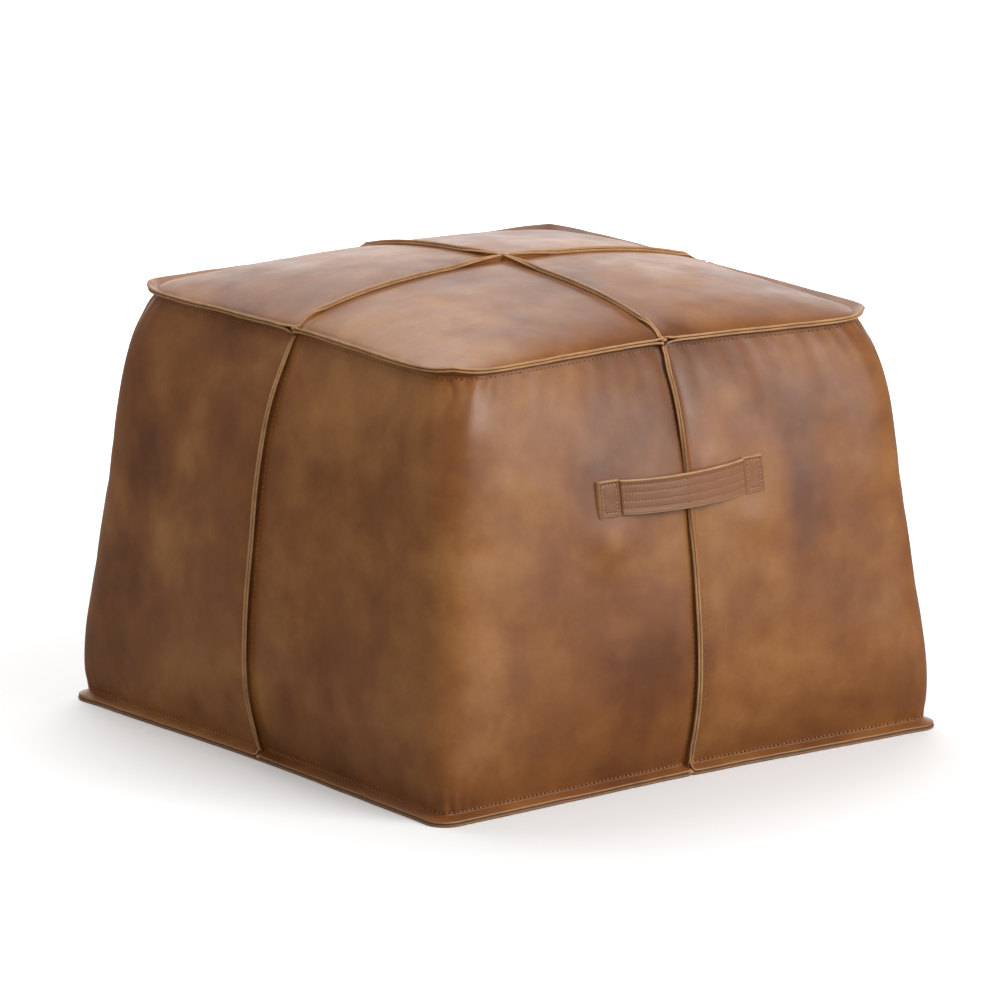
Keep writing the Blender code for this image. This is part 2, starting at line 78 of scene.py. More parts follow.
MM = 0.001
CAD_LIP = 9 * MM
CAD_FIN = 5 * MM
CAD_LEATHER = 2 * MM
LEATHER = 2.2 * MM
GAP = 0.3 * MM
SEAM_EDGE = LEATHER + GAP / 2  # outer side of a standing seam, measured from the seam's plane
LIP = 10 * MM
FIN = 5 * MM
SIDE_FIN = 6.5 * MM  # where it lies over to one side, away from its ends
TOP_FIN = 5 * MM
KNOT = 1.5 * MM
TOP_TILT = math.radians(22)  # how far the lip round the top turns up, and the one round the bottom down
BOTTOM_TILT = math.radians(-22)
CORNER_TURN_UP = math.radians(18)  # how much more the top lip turns up at its corners
BASE_HALF = base_high.x - CAD_LIP
TOP_HALF = top_high.x - CAD_LIP * math.cos(TOP_TILT) - CAD_LEATHER * math.sin(TOP_TILT)
SEAM_HEIGHT = top_low.z - GAP / 2 / math.cos(TOP_TILT)
SIDE_TOP = SEAM_HEIGHT - SEAM_EDGE / math.cos(TOP_TILT)
TOP_LIP = SEAM_HEIGHT + SEAM_EDGE / math.cos(TOP_TILT)
BASE_FOLD = -LIP * math.sin(BOTTOM_TILT)
SIDE_BOTTOM = BASE_FOLD + 2 * SEAM_EDGE / math.cos(BOTTOM_TILT)
CROWN = top_high.z - CAD_FIN - SEAM_HEIGHT - (CAD_LEATHER + GAP / 2) / math.cos(TOP_TILT)

# How the cover departs from a straight-sided pyramid
CORNER_RADIUS = 44 * MM
BOTTOM_RADIUS = 12 * MM
TOP_PULL_IN = 9 * MM
BOTTOM_PULL_IN = 7 * MM
CORNER_SWELL = 17.5 * MM
FACE_SWELL = 35 * MM
CORNER_FULLNESS = 6  # how soon above the seam a swell reaches its full depth
FACE_FULLNESS = 3.2
CROWN_FLATNESS = 2.2  # a higher number keeps the top's dome level further out
CROWN_STEEPNESS = 0.62  # a lower number makes its edge steeper
EASING_PASSES = 40  # how widely the outline is eased in and out of its corners
EASED_FROM = 12  # points from the outline's ends where the easing is at full strength

# The leather's slack
DEEPEST = -4 * MM  # no part of the cover goes further in than this, so it stays clear of the wadding
SHALLOWEST = -2.5 * MM  # the same for the top
EXCESS = 0.005  # how much larger the leather is than the shape it is sewn to
PRESSURE = 4
SIMULATED_STEPS = 20
MOST_MOVED = 4 * MM
SETTLED_FRONT = 7 * MM  # how far the right-hand corners have sat down
SETTLED_BACK = 5 * MM
SETTLED_REACH = 170 * MM
SETTLED_BULGE = 0.25  # how far a settled corner moves out along each side, as a share of its drop
SIDE_SLACK = ((1.4 * MM, 110 * MM, 3.1), (0.5 * MM, 38 * MM, 9.4))  # height, size and seed of each noise
TOP_SLACK = ((1.3 * MM, 120 * MM, 13.7), (0.4 * MM, 40 * MM, 17.2))
TOP_GATHERS = (1.3 * MM, 17 * MM, 48 * MM, 20 * MM)  # height, wavelength, width and depth
BOTTOM_GATHERS = (1.5 * MM, 12 * MM, 52 * MM, 17 * MM)
CREASE_LENGTH = 26 * MM
PUCKER = 0.35 * MM
PUCKER_WAVELENGTH = 9 * MM
PUCKER_DEPTH = 7 * MM
HANDLE_REACH = 40 * MM  # round a stitched-down end, where the leather is drawn tight
HANDLE_PILLOW = 3.2 * MM  # how far the leather bulges out below each of them
PILLOW_REACH = 24 * MM
SLACK_MARGIN = 30 * MM  # width over which the slack comes in, away from a seam
HELD_MARGIN = 2.5 * MM  # the same for every other unevenness
SIDE_FOLDS = 0.3  # how much of the simulated folds is kept, as the filling presses most of them out
TOP_FOLDS = 0.25
BROAD_PASSES = 60  # how widely the simulated shape is averaged, to part its folds from its bulge

# Mesh resolution
STRAIGHT_STEPS = 44
ARC_STEPS = 36
SIDE_ROWS = 76
TOP_STEPS = 48
EDGE_GRADING = 1.35  # above 1 draws rows and columns closer together near the seams
FOLD_STEPS = (0.12, 0.24, 0.42, 0.7, 1.0)

# Stitching
STITCH_PITCH = 5.0 * MM
STITCH_LENGTH = 3.7 * MM
THREAD = 0.36 * MM
SEAM_THREAD = 0.26 * MM
SEAM_STITCH = 5.0 * MM  # from a fold to its row of stitches
TOP_LIP_STITCH = 3.6 * MM
BOTTOM_LIP_STITCH = 2.4 * MM
BOTTOM_THREAD = 0.5 * MM
BOWED = (-1.2, 0.35, 0.75, 0.35, -1.2)  # heights along a stitch, in thread radii


def lerp(a, b, t):
    return a + (b - a) * t


def swell(t, sharpness):
    """0 at both seams and 1 half way up; a higher sharpness fills out sooner."""
    return 1 - np.abs(2 * t - 1) ** sharpness


def section(t):
    """Half-widths at a corner and at mid-face, and the corner radius, a fraction t of the way up."""
    taper = lerp(BASE_HALF, TOP_HALF, t)
    corner = taper + CORNER_SWELL * swell(t, CORNER_FULLNESS)
    middle = taper - lerp(BOTTOM_PULL_IN, TOP_PULL_IN, t) + FACE_SWELL * swell(t, FACE_FULLNESS)
    radius = CORNER_RADIUS - (CORNER_RADIUS - BOTTOM_RADIUS) * (1 - t) ** 8
    return corner, middle, radius


def face_depth(corner, middle, radius, along):
    reach = np.clip(np.abs(along) / (corner - radius), 0, 1)
    return lerp(middle, corner, (1 - np.cos(np.pi * reach)) / 2)


def graded(count):
    """Fractions from 0 to 1, closer together towards both ends."""
    steps = np.linspace(0, 1, count + 1)
    low = 0.5 * (2 * np.minimum(steps, 1 - steps)) ** EDGE_GRADING
    return np.where(steps < 0.5, low, 1 - low)


def quarter_outline(t):
    """Points from the middle of the +X face to the middle of the +Y face, one row per t."""
    corner, middle, radius = (size[:, None] for size in section(np.atleast_1d(np.asarray(t, float))))
    straight = corner - radius
    along = SEAM_EDGE + (straight - SEAM_EDGE) * graded(STRAIGHT_STEPS)[None, :-1]
    side = np.stack([face_depth(corner, middle, radius, along), along], axis=-1)
    angle = np.linspace(0, np.pi / 2, ARC_STEPS + 1)[None]
    arc = np.stack([straight + radius * np.cos(angle), straight + radius * np.sin(angle)], axis=-1)
    return softened(np.concatenate([side, arc, side[:, ::-1, ::-1]], axis=1))


def softened(plan):
    """Eases the outline in and out of its corner, leaving its ends in place."""
    rising = np.clip(np.linspace(0, EASED_FROM, plan.shape[1]), 0, 1)
    inside = rising * rising[::-1]
    for _ in range(EASING_PASSES):
        average = plan.copy()
        average[:, 1:-1] = (plan[:, :-2] + plan[:, 2:]) / 2
        plan = lerp(plan, average, inside[None, :, None] * 0.5)
    return plan


def side_skin():
    """The outer side of one corner's leather between its folds: rows go up, columns go anticlockwise."""
    t = graded(SIDE_ROWS)
    plan = quarter_outline(t)
    height = np.broadcast_to(lerp(SIDE_BOTTOM, SIDE_TOP, t)[:, None, None], plan.shape[:2] + (1,))
    return np.concatenate([plan, height], axis=-1)


def top_skin():
    """The outer side of one top quarter: a grid stretched between its two seams and the rounded rim."""
    rim = quarter_outline(1.0)[0]
    lengths = np.concatenate([[0], np.cumsum(np.linalg.norm(np.diff(rim, axis=0), axis=1))])
    half = lengths[-1] / 2
    steps = graded(TOP_STEPS)
    right = np.stack([np.interp(steps * half, lengths, rim[:, k]) for k in (0, 1)], axis=-1)
    back = right[:, ::-1]
    seam = lerp(SEAM_EDGE, rim[0, 0], steps)
    a, b = steps[None, :, None], steps[:, None, None]
    front = np.stack([seam, np.full_like(seam, SEAM_EDGE)], axis=-1)
    left = front[:, ::-1]
    corners = [np.array([SEAM_EDGE, SEAM_EDGE]), right[0], back[0], right[-1]]
    plan = (1 - b) * front[None] + b * back[None] + (1 - a) * left[:, None] + a * right[:, None]
    plan -= (1 - a) * (1 - b) * corners[0] + a * (1 - b) * corners[1]
    plan -= (1 - a) * b * corners[2] + a * b * corners[3]
    dome = ((1 - a**CROWN_FLATNESS) * (1 - b**CROWN_FLATNESS)) ** CROWN_STEEPNESS
    return np.concatenate([plan, TOP_LIP + CROWN * dome], axis=-1)


def spin(turn):
    return np.array(Matrix.Rotation(math.pi / 2 * turn, 3, "Z"))


def normals_of(grid):
    across = np.gradient(grid, axis=1)
    up = np.gradient(grid, axis=0)
    normal = np.cross(across, up)
    return normal / np.linalg.norm(normal, axis=-1, keepdims=True)


def noise_at(points, size, seed=0.0):
    """Smooth noise from -1 to 1 with features of about the given size."""
    flat = points.reshape(-1, 3) / size + seed
    return np.array([noise.noise(Vector(p)) for p in flat]).reshape(points.shape[:-1])


def run_length(grid, axis):
    """Distance along the grid from its first row or column."""
    steps = np.linalg.norm(np.diff(grid, axis=axis), axis=-1)
    start = np.zeros_like(np.take(steps, [0], axis=axis))
    return np.cumsum(np.concatenate([start, steps], axis=axis), axis=axis)


def smooth(value):
    value = np.clip(value, 0, 1)
    return value * value * (3 - 2 * value)


def near(distance, reach):
    return np.exp(-((distance / reach) ** 2))


def beside_seam(distance):
    """The leather dips towards a standing seam, then curves up into it."""
    return 1.5 * MM * near(distance, 2.6 * MM) - 1.3 * MM * near(distance, 10 * MM)


def ripple(position, wavelength, points, seed):
    """Folds of uneven spacing and height along a position."""
    drift = 0.35 * wavelength * noise_at(points, 60 * MM, seed)
    strength = 0.65 + 0.5 * noise_at(points, 45 * MM, seed + 7)
    return strength * np.cos(2 * np.pi * (position + drift) / wavelength)


def settled(points):
    """The cover has sat down a little at its two right-hand corners, and bulges out there."""
    x, y, z = (points[..., k] for k in range(3))
    front = SETTLED_FRONT * near(np.hypot(x - TOP_HALF, y + TOP_HALF), SETTLED_REACH)
    back = SETTLED_BACK * near(np.hypot(x - TOP_HALF, y - TOP_HALF), SETTLED_REACH)
    drop = (front + back) * smooth(z / SEAM_HEIGHT)
    bulge = SETTLED_BULGE * drop[..., None] * points[..., :2] / TOP_HALF
    return np.concatenate([points[..., :2] + bulge, points[..., 2:] - drop[..., None]], axis=-1)


def around_handle(points, centre_drop=0.0):
    """Distance of points on the front from the nearer of the handle's stitched ends."""
    distances = []
    for low, high in ((end_left_low, end_left_high), (end_right_low, end_right_high)):
        centre = (low + high) / 2
        across = points[..., 0] - centre.x
        up = points[..., 2] - centre.z + centre_drop
        distances.append(np.hypot(across, up))
    distance = np.minimum(*distances)
    return np.where(points[..., 1] < -TOP_HALF / 2, distance, 1.0)


def unevenness(layers, grid, turn):
    """Gentle rise and fall, as the sum of noises of different heights and sizes."""
    return sum(height * noise_at(grid, size, seed + turn) for height, size, seed in layers)


def gathers(shape, corner, from_edge, grid, seed):
    """Folds that run out from an edge at a corner, where the leather is drawn together."""
    height, wavelength, width, depth = shape
    strength = height * near(corner, width) * np.exp(-from_edge / depth)
    return strength * ripple(corner, wavelength, grid, seed)


def corner_crease(corner, from_top, seed):
    """A short fold that winds down from the lip at a corner, with a soft ridge beside it."""
    drift = 5 * MM * math.sin(seed) + 4 * MM * np.sin(from_top / (7 * MM) + seed)
    fold = -2.2 * MM * near(corner - drift, 3.2 * MM)
    ridge = 1.2 * MM * near(corner - drift - 9 * MM, 6 * MM)
    return (fold + ridge) * near(from_top, CREASE_LENGTH)


def side_details(grid, turn, relaxed):
    """Moves the side leather where it is drawn in at seams, gathered at corners and slack between."""
    normal = normals_of(grid)
    along, up = run_length(grid, 1), run_length(grid, 0)
    from_start, from_end = along, along[:, -1:] - along
    from_bottom, from_top = up, up[-1:] - up
    corner = along - along[:, -1:] / 2
    from_sides, from_ends = np.minimum(from_start, from_end), np.minimum(from_bottom, from_top)
    inside = np.clip(np.minimum(from_sides, from_ends) / SLACK_MARGIN, 0, 1)
    slack = relaxed + unevenness(SIDE_SLACK, grid, turn) * inside
    offset = slack * (1 - near(around_handle(grid), HANDLE_REACH))
    offset += HANDLE_PILLOW * near(around_handle(grid, HANDLE_REACH), PILLOW_REACH)
    offset += beside_seam(from_start) + beside_seam(from_end)
    offset += gathers(TOP_GATHERS, corner, from_top, grid, 2.0 + turn)
    offset += gathers(BOTTOM_GATHERS, corner, from_bottom, grid, 5.0 + turn)
    edge_pucker = np.exp(-from_top / PUCKER_DEPTH) + np.exp(-from_bottom / PUCKER_DEPTH)
    offset += PUCKER * ripple(along, PUCKER_WAVELENGTH, grid, 8.0 + turn) * edge_pucker
    offset += corner_crease(corner, from_top, 2.0 + 1.7 * turn)
    fade = np.clip(from_ends / HELD_MARGIN, 0, 1)
    return settled(grid + normal * (np.maximum(offset, DEEPEST) * fade)[..., None])


def top_details(grid, turn, relaxed):
    normal = normals_of(grid)
    x_run, y_run = run_length(grid, 1), run_length(grid, 0)
    to_rim = np.minimum(x_run[:, -1:] - x_run, y_run[-1:] - y_run)
    seam = beside_seam(np.minimum(x_run, y_run))
    inside = np.clip(np.minimum(np.minimum(x_run, y_run), to_rim) / SLACK_MARGIN, 0, 1)
    offset = relaxed + seam + unevenness(TOP_SLACK, grid, turn) * inside
    fade = np.clip(to_rim / HELD_MARGIN, 0, 1)
    return settled(grid + normal * (np.maximum(offset, SHALLOWEST) * fade)[..., None])


def relaxed_skins(skins):
    """How far a cloth simulation moves each skin along its normals, padded and slightly too large."""
    coarse = {key: grid[::2, ::2] for key, grid in skins.items()}
    points, faces, held = [], [], []
    for grid in coarse.values():
        sheet = Sheet(grid)
        faces += [[v + len(points) for v in face] for face in sheet.faces]
        border = np.concatenate([sheet.index[0], sheet.index[-1], sheet.index[:, 0], sheet.index[:, -1]])
        held += [int(v) + len(points) for v in border]
        points += sheet.points
    mesh = bpy.data.meshes.new("simulated")
    mesh.from_pydata([tuple(p) for p in points], [], faces)
    cloth = bpy.data.objects.new("simulated", mesh)
    bpy.context.scene.collection.objects.link(cloth)
    cloth.vertex_groups.new(name="held").add(held, 1.0, "REPLACE")
    settings = cloth.modifiers.new("Cloth", "CLOTH").settings
    settings.quality = 6
    settings.mass = 0.4
    settings.tension_stiffness = settings.compression_stiffness = 20
    settings.bending_stiffness = 1.5
    settings.vertex_group_mass = "held"
    settings.shrink_min = -EXCESS
    settings.use_pressure = True
    settings.uniform_pressure_force = PRESSURE
    settings.effector_weights.gravity = 0
    for step in range(1, SIMULATED_STEPS + 1):
        bpy.context.scene.frame_set(step)
    shape = cloth.evaluated_get(bpy.context.evaluated_depsgraph_get()).data
    moved = np.array([v.co for v in shape.vertices])
    bpy.data.objects.remove(cloth)
    bpy.context.scene.frame_set(1)
    result, first = {}, 0
    for key, grid in coarse.items():
        count = grid.shape[0] * grid.shape[1]
        shift = moved[first : first + count].reshape(grid.shape) - grid
        distance = np.sum(shift * normals_of(grid), axis=-1)
        folds = distance - broad(distance)
        folds *= SIDE_FOLDS if key[0] == "side" else TOP_FOLDS
        result[key] = finer(MOST_MOVED * np.tanh(folds / MOST_MOVED), skins[key].shape[:2])
        first += count
    return result


def broad(field):
    """The field averaged with its surroundings."""
    for _ in range(BROAD_PASSES):
        wide = np.pad(field, 1, mode="edge")
        field = (wide[:-2, 1:-1] + wide[2:, 1:-1] + wide[1:-1, :-2] + wide[1:-1, 2:]) / 4
    return field


def finer(field, shape):
    """A field on every second grid point, filled in to all of them."""
    rows, columns = shape
    old_rows, old_columns = (np.arange(count) for count in field.shape)
    across = np.array([np.interp(np.arange(columns) / 2, old_columns, row) for row in field])
    return np.array([np.interp(np.arange(rows) / 2, old_rows, column) for column in across.T]).T


SIDE_LEAN = {0: (60, 12), 1: (-65, 12), 2: (33, 5), 3: (-44, 4)}  # degrees, and how much it wanders
TOP_LEAN = {0: -80, 1: 80, 2: 80, 3: -80}
FRONT_SEAM = 3
PRESSED_FLAT = -34  # degrees more, behind the strap
BEND = 2.4 * MM  # length of a seam's allowance taken up by its bend
BEND_STEPS = 3
FLAT_STEPS = 2


class Sheet:
    """Points and quads of one piece of leather, grown outward from a grid."""

    def __init__(self, grid):
        rows, columns = grid.shape[:2]
        self.points = list(grid.reshape(-1, 3))
        self.index = np.arange(rows * columns).reshape(rows, columns)
        self.faces = []
        for r in range(rows - 1):
            self.join(self.index[r + 1], self.index[r])

    def add(self, points):
        first = len(self.points)
        self.points += list(points)
        return np.arange(first, first + len(points))

    def join(self, left, right):
        """Quads between two paths; right lies clockwise of the way they run, seen from outside."""
        for k in range(len(left) - 1):
            ring = [left[k], right[k], right[k + 1], left[k + 1]]
            ring = [int(v) for v in dict.fromkeys(ring)]
            self.faces.append(ring)

    def grow(self, path, layers):
        """Strips outward from a path that runs anticlockwise round the sheet; returns the paths."""
        paths = [np.asarray(path)]
        for points in layers:
            paths.append(self.add(points))
            self.join(paths[-2], paths[-1])
        return paths

    def gusset(self, before, after):
        """Closes the corner between the end of one set of strips and the start of the next."""
        self.join([path[-1] for path in before][::-1], [path[0] for path in after][::-1])


def outline_normals(points):
    """Horizontal directions pointing out of an outline that runs anticlockwise."""
    tangent = np.gradient(points, axis=0)
    out = np.stack([tangent[:, 1], -tangent[:, 0], np.zeros(len(points))], axis=-1)
    return out / np.linalg.norm(out, axis=-1, keepdims=True)


def lip_wave(points, seed):
    """Gentle rise and fall of a lip, the same for both of its layers."""
    flat = points * [1, 1, 0]
    return noise_at(flat, 55 * MM, seed) + 0.4 * noise_at(flat, 18 * MM, seed + 4)


def lip_layers(points, seed, tilt, lift, spread):
    """Rows of points from a fold out to the tip of a lip, parted by spread where it holds a seam's end."""
    flat = points * [1, 1, 0]
    out = outline_normals(points)
    width = LIP * (1 + 0.07 * noise_at(flat, 30 * MM, seed + 9) + 0.12 * towards_corner(points))
    turn_up = CORNER_TURN_UP if tilt > 0 else 0
    tilt = (tilt + turn_up * towards_corner(points))[:, None]
    away = np.cos(tilt) * [0, 0, 1] - out * np.sin(tilt)
    wave = lift * lip_wave(points, seed) + spread * near(np.minimum(*np.abs(points[:, :2]).T), 8 * MM)
    layers = []
    for share in FOLD_STEPS:
        moved = points + (width * share)[:, None] * (out * np.cos(tilt) + np.sin(tilt) * [0, 0, 1])
        layers.append(moved + away * (wave * share**1.5)[:, None])
    return layers


def towards_corner(points):
    """1 at the tip of a corner, falling to 0 along the faces."""
    x, y = np.abs(points[:, :2]).T
    reach = np.maximum(x, y)
    return np.clip((np.minimum(x, y) / reach - 0.75) / 0.25, 0, 1) ** 2


def seam_lean(height, seam):
    """How far a standing seam on the side is folded over, as an angle in the anticlockwise sense."""
    up = (height - SIDE_BOTTOM) / (SIDE_TOP - SIDE_BOTTOM)
    lean, wander = SIDE_LEAN[seam]
    if seam == FRONT_SEAM:
        lean += PRESSED_FLAT * near(height - (end_left_low.z + end_left_high.z) / 2, 45 * MM)
    return math.radians(lean + wander * math.sin(7 * up + 2.1 * seam))


def fin_layers(points, out, sideways, lean, height, layer):
    """Rows of points from a fold out to the tip of an allowance that bends over, then lies straight.

    layer is 1 for the leather that ends up on the outside of a positive bend, and -1 for the other.
    """
    lean = np.where(np.abs(lean) < 0.01, 0.01, lean)
    bend = np.minimum(BEND, 0.7 * height)
    radius = bend / lean
    layers = []
    for step in range(1, BEND_STEPS + FLAT_STEPS + 1):
        angle = lean * min(step / BEND_STEPS, 1)
        straight = (height - bend) * max((step - BEND_STEPS) / FLAT_STEPS, 0)
        rise = (radius + layer * SEAM_EDGE) * np.sin(angle) + straight * np.cos(angle)
        shift = (radius + layer * SEAM_EDGE) * (1 - np.cos(angle)) + straight * np.sin(angle)
        layers.append(points + np.outer(rise, out) + np.outer(shift, sideways))
    return layers


def side_sheet(grid, turn):
    """One side panel with its standing edges at mid-face and its lips at the top and bottom."""
    sheet = Sheet(grid)
    top_row, bottom_row = grid[-1], grid[0]
    turned = spin(turn)
    lips_bottom = sheet.grow(sheet.index[0], lip_layers(bottom_row, *BOTTOM_LIPS, 0.9 * MM))
    end = fin_for_side(grid[:, -1], turned @ [0, 1, 0], turned @ [-1, 0, 0], turn + 1, 1)
    fins_end = sheet.grow(sheet.index[:, -1], end)
    top_layers = [row[::-1] for row in lip_layers(top_row, *TOP_LIPS, -1.7 * MM)]
    lips_top = sheet.grow(sheet.index[-1, ::-1], top_layers)
    start = fin_for_side(grid[:, 0], turned @ [1, 0, 0], turned @ [0, 1, 0], turn, -1)
    fins_start = sheet.grow(sheet.index[::-1, 0], [row[::-1] for row in start])
    around = (lips_bottom, fins_end, lips_top, fins_start)
    for before, after in zip(around, around[1:] + around[:1]):
        sheet.gusset(before, after)
    return sheet


TOP_LIPS = (21.0, TOP_TILT, 0.8 * MM)  # seed, tilt and waviness
BOTTOM_LIPS = (31.0, BOTTOM_TILT, 0.5 * MM)


def fin_for_side(points, out, sideways, seam, layer):
    """A standing edge up the middle of a face, whose ends are caught in the lips."""
    seam %= 4
    from_end = np.minimum(points[:, 2] - SIDE_BOTTOM, points[-1, 2] - points[:, 2])
    free = smooth(from_end / (24 * MM))
    height = (FIN + (SIDE_FIN - FIN) * free) * (1 + 0.08 * np.sin(points[:, 2] * 70 + seam))
    lean = free * np.array([seam_lean(z, seam) for z in points[:, 2]])
    layers = fin_layers(points, out, sideways, lean, height, layer)
    for step, row in enumerate(layers):
        room = KNOT * (step + 1) / len(layers)
        row[:, 2] = np.clip(row[:, 2], SIDE_BOTTOM + room, SIDE_TOP - room)
    return layers


def top_sheet(grid, turn):
    """One top quarter with its standing edges along two seams and its lip round the rim."""
    sheet = Sheet(grid)
    turned = spin(turn)
    rim_path = np.concatenate([sheet.index[:, -1], sheet.index[-1, -2::-1]])
    rim_points = np.concatenate([grid[:, -1], grid[-1, -2::-1]])
    up = np.array([0, 0, 1.0])
    height = TOP_FIN * (0.35 + 0.65 * smooth((grid[0, -1] - grid[0]) @ (turned @ [1, 0, 0]) / (25 * MM)))
    free = smooth((grid[0, -1] - grid[0]) @ (turned @ [1, 0, 0]) / (30 * MM) - 0.15)
    front_lean = math.radians(TOP_LEAN[turn]) * fade_from_centre(grid[0]) * free
    left_lean = math.radians(TOP_LEAN[(turn + 1) % 4]) * fade_from_centre(grid[:, 0]) * free
    front = fin_layers(grid[0], up, turned @ [0, 1, 0], front_lean, height, -1)
    left = fin_layers(grid[:, 0], up, turned @ [-1, 0, 0], left_lean, height, 1)
    fins_front = sheet.grow(sheet.index[0], front)
    lips = sheet.grow(rim_path, lip_layers(rim_points, *TOP_LIPS, 1.5 * MM))
    left_paths = [sheet.index[::-1, 0]]
    for level, points in enumerate(left):
        path = sheet.add(points[::-1][:-1])
        left_paths.append(np.append(path, fins_front[level + 1][0]))
        sheet.join(left_paths[-2], left_paths[-1])
    sheet.gusset(fins_front, lips)
    sheet.gusset(lips, left_paths)
    return sheet


def fade_from_centre(points):
    return np.clip(np.linalg.norm(points[:, :2], axis=1) / (60 * MM) - 0.1, 0, 1)


def mesh_piece(name, points, faces, materials, replaces=(), body="pouf"):
    mesh = bpy.data.meshes.new(name)
    mesh.from_pydata([tuple(p) for p in points], [], [tuple(f) for f in faces])
    for finish in materials:
        mesh.materials.append(finish)
    mesh.shade_smooth()
    obj = bpy.data.objects.new(name, mesh)
    bpy.context.scene.collection.objects.link(obj)
    if body:
        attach(obj, body)
    if replaces:
        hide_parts(*replaces)
    return obj


def loft_piece(name, rings, finish, replaces=(), body="pouf"):
    """A closed solid through rings of equally many points."""
    count = len(rings[0])
    points = [p for ring in rings for p in ring]
    faces = [tuple(reversed(range(count)))]
    for r in range(len(rings) - 1):
        for c in range(count):
            n = (c + 1) % count
            faces.append((r * count + c, r * count + n, (r + 1) * count + n, (r + 1) * count + c))
    last = (len(rings) - 1) * count
    faces.append(tuple(range(last, last + count)))
    obj = mesh_piece(name, points, faces, (finish,), replaces, body)
    obj.data.set_sharp_from_angle(angle=math.radians(60))
    return obj


def leather_piece(name, sheet, materials, node):
    """A sheet given its thickness, with the cut edge in its own material, and softened by subdivision."""
    obj = mesh_piece(name, sheet.points, sheet.faces, materials, (node,))
    solidify = obj.modifiers.new("Thickness", "SOLIDIFY")
    solidify.thickness = LEATHER
    solidify.offset = -1
    solidify.material_offset_rim = 1
    solidify.edge_crease_inner = solidify.edge_crease_outer = 0.9
    subdivide = obj.modifiers.new("Soft", "SUBSURF")
    subdivide.levels = subdivide.render_levels = 1
    return obj


def offset_path(grid, normal, axis, from_far, distance):
    """A path on the grid at a distance from one of its edges, with the surface's normals along it."""
    if from_far:
        grid, normal = np.flip(grid, axis), np.flip(normal, axis)
    run = run_length(grid, axis)
    if axis == 0:
        grid, normal, run = (np.swapaxes(a, 0, 1) for a in (grid, normal, run))
    points, directions = [], []
    for line, facing, length in zip(grid, normal, run):
        points.append([np.interp(distance, length, line[:, k]) for k in range(3)])
        directions.append([np.interp(distance, length, facing[:, k]) for k in range(3)])
    return np.array(points), np.array(directions)


def resampled(points, normals, pitch):
    lengths = np.concatenate([[0], np.cumsum(np.linalg.norm(np.diff(points, axis=0), axis=1))])
    count = max(int(lengths[-1] / pitch), 2)
    at = np.linspace(0, lengths[-1], count + 1)
    points, normals = (
        np.stack([np.interp(at, lengths, values[:, k]) for k in range(3)], axis=-1)
        for values in (points, normals)
    )
    return points, normals / np.linalg.norm(normals, axis=-1, keepdims=True)


class Stitches:
    """Rows of thread and the painted shade of needle holes, gathered into one mesh."""

    sides = 6

    def __init__(self):
        self.points, self.faces, self.kinds = [], [], []

    def row(self, points, normals, pitch=STITCH_PITCH, length=STITCH_LENGTH, thread=THREAD):
        points, normals = resampled(points, normals, pitch)
        for k in range(len(points) - 1):
            self.thread(points[k], points[k + 1], normals[k], length / pitch, thread)
            self.hole(points[k], points[k + 1] - points[k], normals[k], thread)

    def thread(self, start, end, up, share, radius):
        """One stitch: a short bowed tube that dips into the leather at both ends."""
        first = len(self.points)
        along = (end - start) / np.linalg.norm(end - start)
        across = np.cross(along, up)
        margin = (1 - share) / 2
        for k, height in enumerate(BOWED):
            centre = lerp(start, end, margin + share * k / (len(BOWED) - 1)) + up * radius * height
            for side in range(self.sides):
                angle = 2 * math.pi * side / self.sides
                self.points.append(centre + radius * (math.cos(angle) * across + math.sin(angle) * up))
        for k in range(len(BOWED) - 1):
            for side in range(self.sides):
                n = (side + 1) % self.sides
                low, high = first + k * self.sides, first + (k + 1) * self.sides
                self.faces.append((low + n, low + side, high + side, high + n))
        self.faces.append(tuple(range(first, first + self.sides)))
        last = len(self.points) - self.sides
        self.faces.append(tuple(reversed(range(last, last + self.sides))))
        self.kinds += [0] * ((len(BOWED) - 1) * self.sides + 2)

    def hole(self, centre, along, up, radius):
        """A needle hole's painted shade: a dark lens lying in the leather, where the hole is in shadow."""
        first = len(self.points)
        along = along / np.linalg.norm(along)
        across = np.cross(along, up)
        self.points += [centre + up * 0.12 * MM, centre - up * 0.3 * MM]
        for side in range(self.sides):
            angle = 2 * math.pi * side / self.sides
            rim = 2.2 * math.cos(angle) * along + 2.0 * math.sin(angle) * across
            self.points.append(centre + radius * rim)
        for side in range(self.sides):
            a, b = first + 2 + side, first + 2 + (side + 1) % self.sides
            self.faces += [(first, b, a), (first + 1, a, b)]
        self.kinds += [1] * (2 * self.sides)

    def piece(self, name, materials, body="pouf"):
        obj = mesh_piece(name, self.points, self.faces, materials, body=body)
        obj.data.polygons.foreach_set("material_index", self.kinds)
        return obj


# --- materials ---


